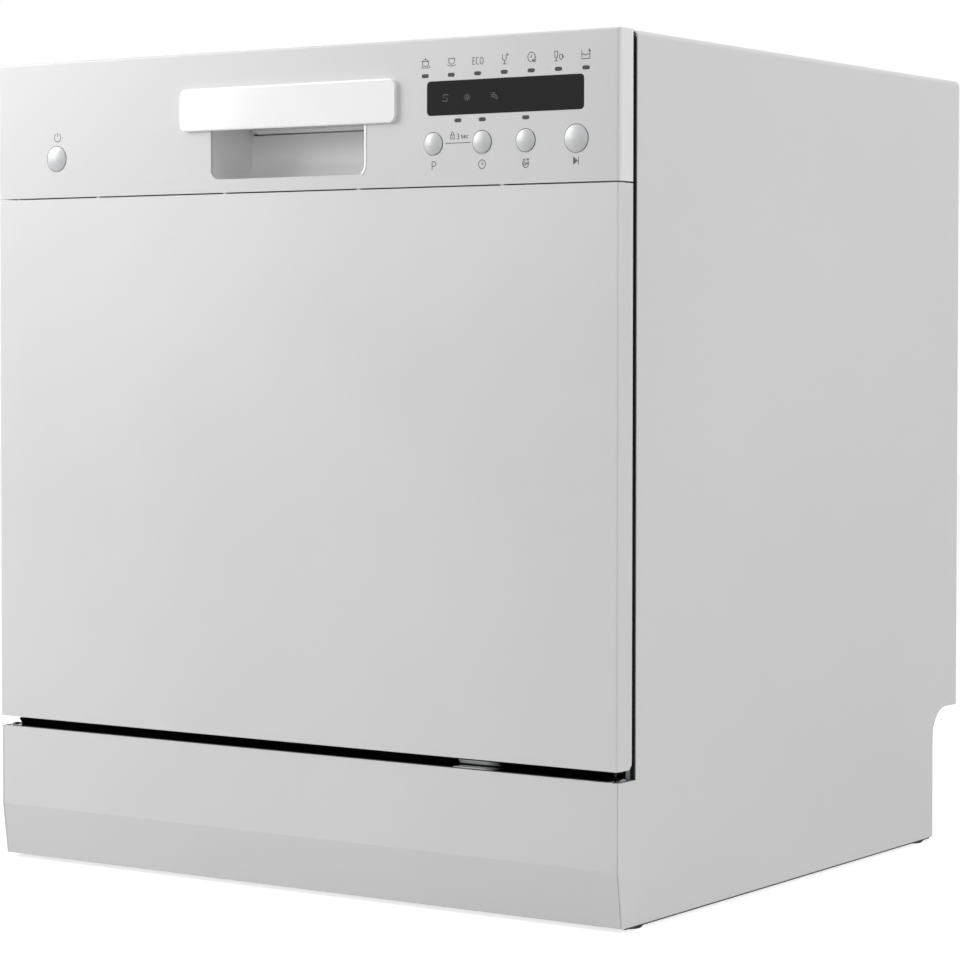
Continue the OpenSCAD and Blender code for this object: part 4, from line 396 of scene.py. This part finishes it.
# The clip's right end fades to near black: the painted soft edge of that painted reflection.
run = add(tree, "ShaderNodeSeparateXYZ", {0: place}).outputs["X"]
reflection_fade_mask = add(tree, "ShaderNodeMapRange", {"Value": run, "From Min": 0.163, "From Max": 0.175}).outputs[0]
reflection_fade = add(tree, "ShaderNodeMix", {0: reflection_fade_mask, 6: tint, 7: linear("#1a1b1c")}, data_type="RGBA").outputs[2]
tree.links.new(reflection_fade, shader.inputs["Base Color"])
rail_low, rail_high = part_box("sill_trim")
apron_y, apron_z = rail_low.y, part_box("kick_plate")[1].z + 0.0006
strip = np.array([(apron_y + 0.0005, apron_z + 0.00005), (-0.2352, apron_z + 0.00005), (-0.2387, 0.1049),
                  (-0.2389, 0.1051), (-0.2354, apron_z + 0.00035), (apron_y + 0.0005, apron_z + 0.00035)])
clip_run = np.linspace(0.1405, 0.1745, 9)
corners, faces = carried(np.column_stack((clip_run, 0 * clip_run, 0 * clip_run)), (0, 1, 0), (0, 0, 1), strip, False)
new_piece("rail_clip", corners, outward(corners, faces), spring_steel_painted_reflection, "root", smooth=False)


# Door panel: a pan of 1 mm steel sheet with returned sides, hooked into the console by four small tabs.
# It has the cabinet's powder coat, sprayed on its own, so its clouds of gloss run a little finer.
door_coat, tree, shader, place = start_material("white_door_powder_coat", {"Roughness": 0.42, "IOR": 1.5})
uneven(tree, shader, place, "#dedede", "#e3e3e3", 0.22, (0.38, 0.46))
grain(tree, shader, place, 0.004, 0.00002)
dress(door_coat, "door_panel")

# Door liner: one deep-drawn stainless pan, closed by the door's side screws. Drawing leaves its brushed lines
# upright on the flat and a little duller towards the corners.
dress(brushed_stainless, "door_liner")


# Dispenser: pale grey polypropylene with a darker flap over the detergent cup and a blue-grey cap over the rinse aid.
# Polypropylene has a soft, waxy skin with fine flow lines.
dispenser_plastic, tree, shader, place = start_material("dispenser_polypropylene", {"Roughness": 0.42, "IOR": 1.49})
uneven(tree, shader, place, "#b9bdc1", "#c6cacd", 0.025, (0.36, 0.5))
grain(tree, shader, place, 0.0012, 0.00002)
dress(dispenser_plastic, "dispenser_body")
dress(grey_polypropylene, "dispenser_lid")
rinse_blue, tree, shader, place = start_material("blue_polypropylene", {"Roughness": 0.4, "IOR": 1.49})
uneven(tree, shader, place, "#6783a4", "#7b95b4", 0.01, (0.34, 0.46))
grain(tree, shader, place, 0.001, 0.00002)
dress(rinse_blue, "rinse_cap")


# Console: satin white ABS, moulded with its finger pocket in one piece. A fine spark-eroded grain makes its face satin;
# the pocket behind it is painted a shade lighter, painted light in the recess, and its mouth has a polished lip, 1.8 mm
# wide, along its right edge.
console_abs, tree, shader, place = start_material("satin_white_abs", {"Roughness": 0.4, "IOR": 1.54})
tint = uneven(tree, shader, place, "#d8d8d8", "#dcdcdc", 0.2, (0.37, 0.45))
console_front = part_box("console")[0].y
# Everything behind the face, the pocket and the lever in it, is painted a shade lighter: painted light that lifts the
# shade in the recess.
depth = add(tree, "ShaderNodeSeparateXYZ", {0: place}).outputs["Y"]
inside = add(tree, "ShaderNodeMapRange", {
    "Value": depth, "From Min": console_front + 0.0005, "From Max": console_front + 0.004}).outputs[0]
pocket_painted_light = add(tree, "ShaderNodeMix", {0: inside, 6: tint, 7: linear("#f3f3f3")}, data_type="RGBA").outputs[2]
tree.links.new(pocket_painted_light, shader.inputs["Base Color"])
grain(tree, shader, place, 0.0014, 0.000012)
dress(console_abs, "console", "latch_lever")

# The lip's gloss and bead shape are real, but its colour is whiter than the console's face and it runs only along the
# right edge and the lower right corner: a painted highlight.
lip_painted_highlight, tree, shader, place = start_material("polished_lip_painted_highlight", {"Roughness": 0.16, "IOR": 1.54})
uneven(tree, shader, place, "#f2f2f2", "#f6f6f6", 0.03, (0.12, 0.2))
mouth_right, mouth_floor, mouth_top, mouth_r = 0.0673, 0.5045, 0.5386, 0.007
bend = np.radians(np.linspace(40, 90, 9))
corner = np.column_stack((np.sin(bend), -np.cos(bend)))
mouth = np.concatenate([(mouth_right - mouth_r, mouth_floor + mouth_r) + mouth_r * corner, [(mouth_right, mouth_top)]])
away = np.concatenate([corner, [(1, 0)]])
route = np.column_stack((mouth[:, 0], np.full(len(mouth), console_front), mouth[:, 1]))
sideways = np.column_stack((away[:, 0], np.zeros(len(away)), away[:, 1]))
corners, faces = carried(route, sideways, (0, -1, 0), [
    (0.0, -0.0002), (0.0, 0.00006), (0.0015, 0.0004), (0.0018, 0.0003), (0.0018, -0.0002)], False)
new_piece("pocket_lip", corners, outward(corners, faces), lip_painted_highlight, "door", smooth=False)

# Handle plate: polished white ABS with a clear lacquer, snapped over the pocket's top. It is the whitest part.
plate_abs, tree, shader, place = start_material(
    "lacquered_white_abs", {"Roughness": 0.12, "IOR": 1.54, "Coat Weight": 1.0, "Coat Roughness": 0.1})
uneven(tree, shader, place, "#fdfdfd", "#ffffff", 0.05, (0.1, 0.14))
dress(plate_abs, "handle_plate")

# Window and lenses: smoked acrylic, cut and glued in from the front. Its face reflects, and it looks black behind.
smoked_acrylic, tree, shader, place = start_material(
    "smoked_acrylic", {"Roughness": 0.08, "IOR": 1.49, "Specular IOR Level": 0.22})
uneven(tree, shader, place, "#171718", "#1d1d1e", 0.05, (0.06, 0.1))
dress(smoked_acrylic, "display_window")
smoked_lens, tree, shader, place = start_material("smoked_lens", {"Roughness": 0.2, "IOR": 1.45})
uneven(tree, shader, place, "#454546", "#505052", 0.003, (0.16, 0.26))
dress(smoked_lens, "indicator_lenses")

# Buttons: ABS caps, sprayed with a satin pearl lacquer, clear-coated and pushed on stems that reach the switches.
# Fine pigment flakes lie in the lacquer, drawn here as specks of 0.5 mm.
pearl_lacquer, tree, shader, place = start_material(
    "pearl_lacquered_abs", {"Roughness": 0.4, "IOR": 1.5, "Metallic": 0.1, "Coat Weight": 0.1, "Coat Roughness": 0.2})
uneven(tree, shader, place, "#c6c7c8", "#d0d1d2", 0.0005, (0.37, 0.44))
dress(pearl_lacquer, "power_button", "program_button", "delay_button", "function_button", "start_button")

# Control board: glass-epoxy board with a green solder resist over its copper, whose tracks show as paler bands 2 mm
# apart, with the black display block and switches soldered on.
circuit_board, tree, shader, place = start_material("lacquered_circuit_board", {"Roughness": 0.3, "IOR": 1.5})
tint = uneven(tree, shader, place, "#123a20", "#184828", 0.004, (0.22, 0.4))
bands = add(tree, "ShaderNodeTexWave", {"Vector": place, "Scale": 1 / 0.0126, "Distortion": 2.0},
            wave_type="BANDS", bands_direction="Z").outputs["Fac"]
track = add(tree, "ShaderNodeMapRange", {"Value": bands, "From Min": 0.8, "From Max": 0.88}).outputs[0]
tracks = add(tree, "ShaderNodeMix", {0: track, 6: tint, 7: linear("#2c6b3c")}, data_type="RGBA").outputs[2]
tree.links.new(tracks, shader.inputs["Base Color"])
dress(circuit_board, "control_board")


# Printing on the console: grey pad-printed signs over and under the lamps, and faint signs behind the window.
# The ink is a film, drawn a little thicker than its real hundredth of a millimetre, with soft dull edges.
def arc(x, z, wide, high, start, end, count=20):
    """Points of an ellipse's arc: centre plus half width times cosine and half height times sine, in degrees."""
    turn = np.radians(np.linspace(start, end, count))
    return np.column_stack((x + wide * np.cos(turn), z + high * np.sin(turn)))


def ink_lines(name, lines, width, face, body, material, thick=0.00006):
    """Flat strips along rows of (x, z) points in millimetres. At each point the strip's sides are the point plus and
    minus half the width along the mean normal of the two pieces that meet there, divided by the cosine of half their turn."""
    corners, faces, first = [], [], 0
    for line in lines:
        path = np.asarray(line, float) * 0.001
        closed = np.allclose(path[0], path[-1])
        if closed:
            path = path[:-1]
        before = path - np.roll(path, 1, 0)
        after = np.roll(before, -1, 0)
        if not closed:
            before[0], after[-1] = after[0], before[-1]
        before, after = (way / np.linalg.norm(way, axis=1)[:, None] for way in (before, after))
        mean = before + after
        mean /= np.linalg.norm(mean, axis=1)[:, None]
        reach = 0.0005 * width / np.clip((mean * after).sum(1), 0.5, 1)
        side = np.column_stack((-mean[:, 1], mean[:, 0])) * reach[:, None]
        count = len(path)
        ring = np.stack([path - side, path + side, path + side, path - side], 1)
        depth = np.broadcast_to([face - thick, face - thick, face + thick / 2, face + thick / 2], (count, 4))
        corners.append(np.stack([ring[..., 0], depth, ring[..., 1]], -1).reshape(-1, 3))
        step = np.arange(count if closed else count - 1)[:, None]
        edge = np.arange(4)[None, :]
        here, there = step * 4, (step + 1) % count * 4
        quads = np.stack([here + edge, here + (edge + 1) % 4, there + (edge + 1) % 4, there + edge], -1)
        faces.append(quads.reshape(-1, 4) + first)
        if not closed:
            faces.append(np.array([[3, 2, 1, 0], np.arange(4) + 4 * (count - 1)]) + first)
        first += 4 * count
    mesh = bpy.data.meshes.new(name)
    mesh.from_pydata(np.concatenate(corners).tolist(), [], np.concatenate(faces).tolist())
    mesh.materials.append(material)
    piece = bpy.data.objects.new(name, mesh)
    bpy.context.scene.collection.objects.link(piece)
    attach(piece, body)
    return piece


def placed(lines, x, z, size=1.0):
    """Rows of points scaled by size and moved to the centre (x, z)."""
    return [np.asarray(line, float) * size + (x, z) for line in lines]


letters = {
    "E": [[(1.7, 2.3), (0, 2.3), (0, -2.3), (1.7, -2.3)], [(0, 0.1), (1.5, 0.1)]],
    "C": [arc(1.2, 0, 1.2, 2.3, 55, 305)],
    "O": [arc(1.3, 0, 1.3, 2.3, 0, 360, 30)],
    "P": [[(0, -2.8), (0, 2.8)], np.vstack(([(0, 2.8)], arc(1.5, 1.25, 1.7, 1.55, 90, -90), [(0, -0.3)]))],
    "3": [np.vstack((arc(0.7, 0.95, 0.85, 0.85, 140, -90, 14), arc(0.7, -0.9, 1.0, 1.0, 90, -140, 16)[1:]))],
    "s": [np.vstack((arc(0.7, 0.0, 0.7, 0.5, 50, 240, 10), arc(0.7, -0.95, 0.7, 0.5, 70, -130, 12)))],
    "e": [np.vstack(([(0.1, -0.45)], arc(0.8, -0.45, 0.75, 0.95, 0, 320, 18)))],
    "c": [arc(0.8, -0.45, 0.75, 0.95, 50, 310, 14)],
    "9": [arc(0.6, 0.4, 0.6, 0.6, 0, 360, 14), arc(0.0, 0.4, 1.2, 1.6, 0, -70, 8)],
    "0": [arc(0.65, 0, 0.6, 1.0, 0, 360, 16)],
}
cup_foot = [arc(0.2, -2.2, 3.4, 1.2, 200, 270, 8), [(0.2, -3.4), (2.2, -3.4)], arc(2.2, -1.9, 1.9, 1.5, 270, 340, 8)]
signs = {
    "pot": [np.vstack(([(-2.4, 1.4)], arc(-1.6, -1.0, 0.8, 0.9, 180, 270, 6), arc(1.6, -1.0, 0.8, 0.9, 270, 360, 6), [(2.4, 1.4)])),
            [(-3.2, 1.4), (3.2, 1.4)], arc(0, 1.4, 1.7, 1.3, 0, 180, 12), [(0, 2.7), (0, 3.6)],
            np.vstack((arc(-2.2, -2.2, 1.0, 0.9, 180, 270, 6), arc(2.4, -1.5, 1.5, 1.6, 270, 350, 8)))],
    "cup": [[(-2.8, 2.3), (2.8, 2.3)], np.vstack(([(-2.5, 2.3)], arc(0, 0.6, 2.3, 2.1, 200, 340, 14), [(2.5, 2.3)])),
            arc(0, -1.2, 3.6, 1.5, 200, 340, 14)],
    "glass": [np.vstack(([(-1.4, 3.0)], arc(0, 1.2, 1.7, 2.3, 190, 350, 16), [(0.9, 2.4)])), [(0, -1.1), (0, -3.2)], [(-1.4, -3.3), (1.4, -3.3)],
              [(1.7, 3.6), (3.2, 2.0)], [(3.2, 3.6), (1.7, 2.0)]],
    "fast": [arc(0, 0.3, 2.9, 3.2, -20, 270, 30), [(0, 2.2), (0, 0.2), (-1.1, 0.2)], [(2.6, -0.4), (3.6, 0.4)], *placed(letters["9"], 0.6, -2.2, 0.8),
             *placed(letters["0"], 2.1, -2.2, 0.8), [(3.6, -1.0), (3.4, -1.7)]],
    "glasses": [[(-2.9, 3.2), (-0.7, 3.2)], np.vstack(([(-2.9, 3.2)], [(-2.9, 0.0)], arc(-1.8, -0.2, 1.1, 1.1, 180, 360, 10), [(-0.7, 3.2)])),
                [(-1.8, -1.3), (-1.8, -3.1)], [(-3.0, -3.2), (-0.6, -3.2)],
                [(0.9, 0.9), (3.1, 0.9)], np.vstack(([(0.9, 0.9)], arc(2.0, -1.2, 1.1, 1.3, 180, 360, 10), [(3.1, 0.9)])), arc(3.1, -0.6, 0.8, 0.7, 80, -80, 8)],
    "basin": [[(-3.3, 2.6), (-3.3, -2.8), (3.0, -2.8), (3.0, 0.6)],
              np.column_stack((np.linspace(-3.3, 3.0, 20), -0.1 + 0.45 * np.sin(np.linspace(0, 9.4, 20)))),
              [(2.0, 2.2), (3.6, 2.2)], [(2.8, 3.2), (2.8, 1.2)], [(2.2, 3.6), (3.4, 0.9)]],
    "clock": [arc(0, 0, 2.8, 2.9, 0, 360, 36), [(0, 1.6), (0, 0), (1.1, 0)]],
    "tablets": [np.vstack((arc(1.2, 1.8, 1.2, 1.2, 0, 60, 5),)), np.vstack(([(-2.4, 1.0)], [(-2.4, -0.6)], arc(0, -0.8, 2.4, 2.4, 180, 360, 18), [(2.4, 1.0)])),
                arc(-1.3, 1.7, 0.8, 0.8, 0, 360, 14), arc(1.4, 2.1, 0.5, 0.5, 0, 360, 12), arc(-0.7, -0.9, 0.9, 0.9, 0, 360, 14),
                arc(1.1, -0.4, 0.6, 0.6, 0, 360, 12)],
    "start": [[(-1.9, 2.4), (-1.9, -2.4), (1.2, 0), (-1.9, 2.4)], [(-1.5, 1.6), (-1.5, -1.6)], [(-1.0, 1.3), (-1.0, -1.3)], [(-0.4, 0.8), (-0.4, -0.8)],
              [(0.2, 0.4), (0.2, -0.4)], [(2.1, 2.6), (2.1, -2.6)]],
    "lock": [[(-1.5, -2.2), (-1.5, 0.5), (1.5, 0.5), (1.5, -2.2), (-1.5, -2.2)], np.vstack(([(-0.9, 0.5)], arc(0, 1.4, 0.9, 1.1, 180, 0, 12), [(0.9, 0.5)])),
             [(0, -0.4), (0, -1.2)]],
    "power": [arc(0, -0.2, 2.7, 2.7, 125, 415, 30), [(0, 2.9), (0, 0.3)]],
    "salt": [arc(0.4, 0.9, 2.4, 1.4, 30, 200, 14), [(-2.0, 0.4), (-2.0, 1.7)], [(-2.0, 0.4), (-0.8, 0.6)],
             arc(-0.4, -0.9, 2.4, 1.4, 210, 380, 14), [(2.0, -0.4), (2.0, -1.7)], [(2.0, -0.4), (0.8, -0.6)]],
    "sun": [arc(0, 0, 1.0, 1.0, 0, 360, 16)] + [[(1.6 * math.cos(t), 1.6 * math.sin(t)), (2.7 * math.cos(t), 2.7 * math.sin(t))]
                                                for t in np.radians(range(0, 360, 45))],
    "tap": [[(-2.6, 0.7), (0.2, 0.7)], np.vstack(([(0.2, 0.7)], arc(0.6, -1.0, 1.9, 1.7, 90, 0, 10), [(2.5, -1.9), (1.3, -1.9)])),
            [(-2.6, -0.5), (0.2, -0.5), (1.3, -1.6)], [(-0.6, 0.7), (-0.6, 2.1)], [(-1.9, 2.1), (0.7, 2.1)]],
}
pad_ink, tree, shader, place = start_material("grey_pad_print_ink", {"Roughness": 0.6, "IOR": 1.5})
uneven(tree, shader, place, "#4a4a4b", "#5c5c5d", 0.0015, (0.5, 0.7))
upper_signs = [("pot", 119.3), ("cup", 141.1), ("glass", 184.3), ("fast", 206.1), ("glasses", 227.6), ("basin", 249.3)]
lines = [line for name, x in upper_signs for line in placed(signs[name], x, 578.3)]
for letter, x in (("E", 158.6), ("C", 161.3), ("O", 164.5)):
    lines += placed(letters[letter], x, 578.1)
lines += placed(letters["P"], 124.9, 508.7) + placed(signs["clock"], 166.2, 508.7)
lines += placed(signs["tablets"], 201.6, 508.7) + placed(signs["start"], 241.5, 508.9)
lines += placed(signs["lock"], 141.8, 528.6) + placed(signs["power"], -216.2, 539.5, 1.15)
for letter, x in (("3", 145.6), ("s", 149.1), ("e", 151.2), ("c", 153.5)):
    lines += placed(letters[letter], x, 528.0, 0.95)
lines += [[(136.1, 523.6), (156.5, 523.6)]]
ink_lines("console_signs", lines, 0.5, console_front, "door", pad_ink)

faint_ink, tree, shader, place = start_material("faint_screen_print_ink", {"Roughness": 0.4, "IOR": 1.5})
uneven(tree, shader, place, "#5a5a5c", "#6a6a6c", 0.002, (0.35, 0.5))
lines = placed(signs["salt"], 135.8, 554.3) + placed(signs["sun"], 153.9, 554.1) + placed(signs["tap"], 176.0, 554.0)
ink_lines("window_signs", lines, 0.4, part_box("display_window")[0].y, "door", faint_ink)


# Baskets: steel wire, welded into grids and dipped hot in grey nylon powder. The coat is thick, soft and waxy, and
# pools a little at the joints, so its sheen drifts along each wire.
wire_nylon, tree, shader, place = start_material("grey_nylon_coat", {"Roughness": 0.45, "IOR": 1.53})
uneven(tree, shader, place, "#a9adb2", "#b8bcc0", 0.02, (0.4, 0.52))
grain(tree, shader, place, 0.002, 0.00003)
dress(wire_nylon, "upper_basket", "upper_basket_rim", "cup_shelf", "lower_basket", "lower_basket_rim", "plate_tines")

# Rails and feed pipe of the upper basket: rolled stainless channel on the sides, dull from sliding on its rollers.
rail_steel, tree, shader, place = start_material(
    "rolled_rail_steel", {"Metallic": 1.0, "Roughness": 0.36, "Anisotropic": 0.5})
uneven(tree, shader, place, "#a6a9ad", "#b6b9bc", 0.05, (0.3, 0.44))
grain(tree, shader, place, 0.0016, 0.00002, (1, 0.05, 1))
dress(rail_steel, "basket_rails")

# Rollers and wheels: turned white acetal, which wears to a dull ring where it runs.
dress(acetal, "front_rollers", "rear_rollers", "front_wheels", "rear_wheels")

# Cutlery basket: grey polypropylene, moulded with slots through which the mould's core leaves sharp edges.
basket_plastic, tree, shader, place = start_material("moulded_basket_polypropylene", {"Roughness": 0.48, "IOR": 1.49})
uneven(tree, shader, place, "#747a80", "#828890", 0.02, (0.42, 0.56))
grain(tree, shader, place, 0.0012, 0.00003)
dress(basket_plastic, "cutlery_basket")

# Spray arms: two grey polypropylene halves, welded along the edge, that turn on their hubs by the water's push.
arm_plastic, tree, shader, place = start_material("spray_arm_polypropylene", {"Roughness": 0.44, "IOR": 1.49})
uneven(tree, shader, place, "#7a8086", "#888e94", 0.03, (0.38, 0.52))
grain(tree, shader, place, 0.0014, 0.00003)
dress(arm_plastic, "lower_spray_arm", "upper_spray_arm")
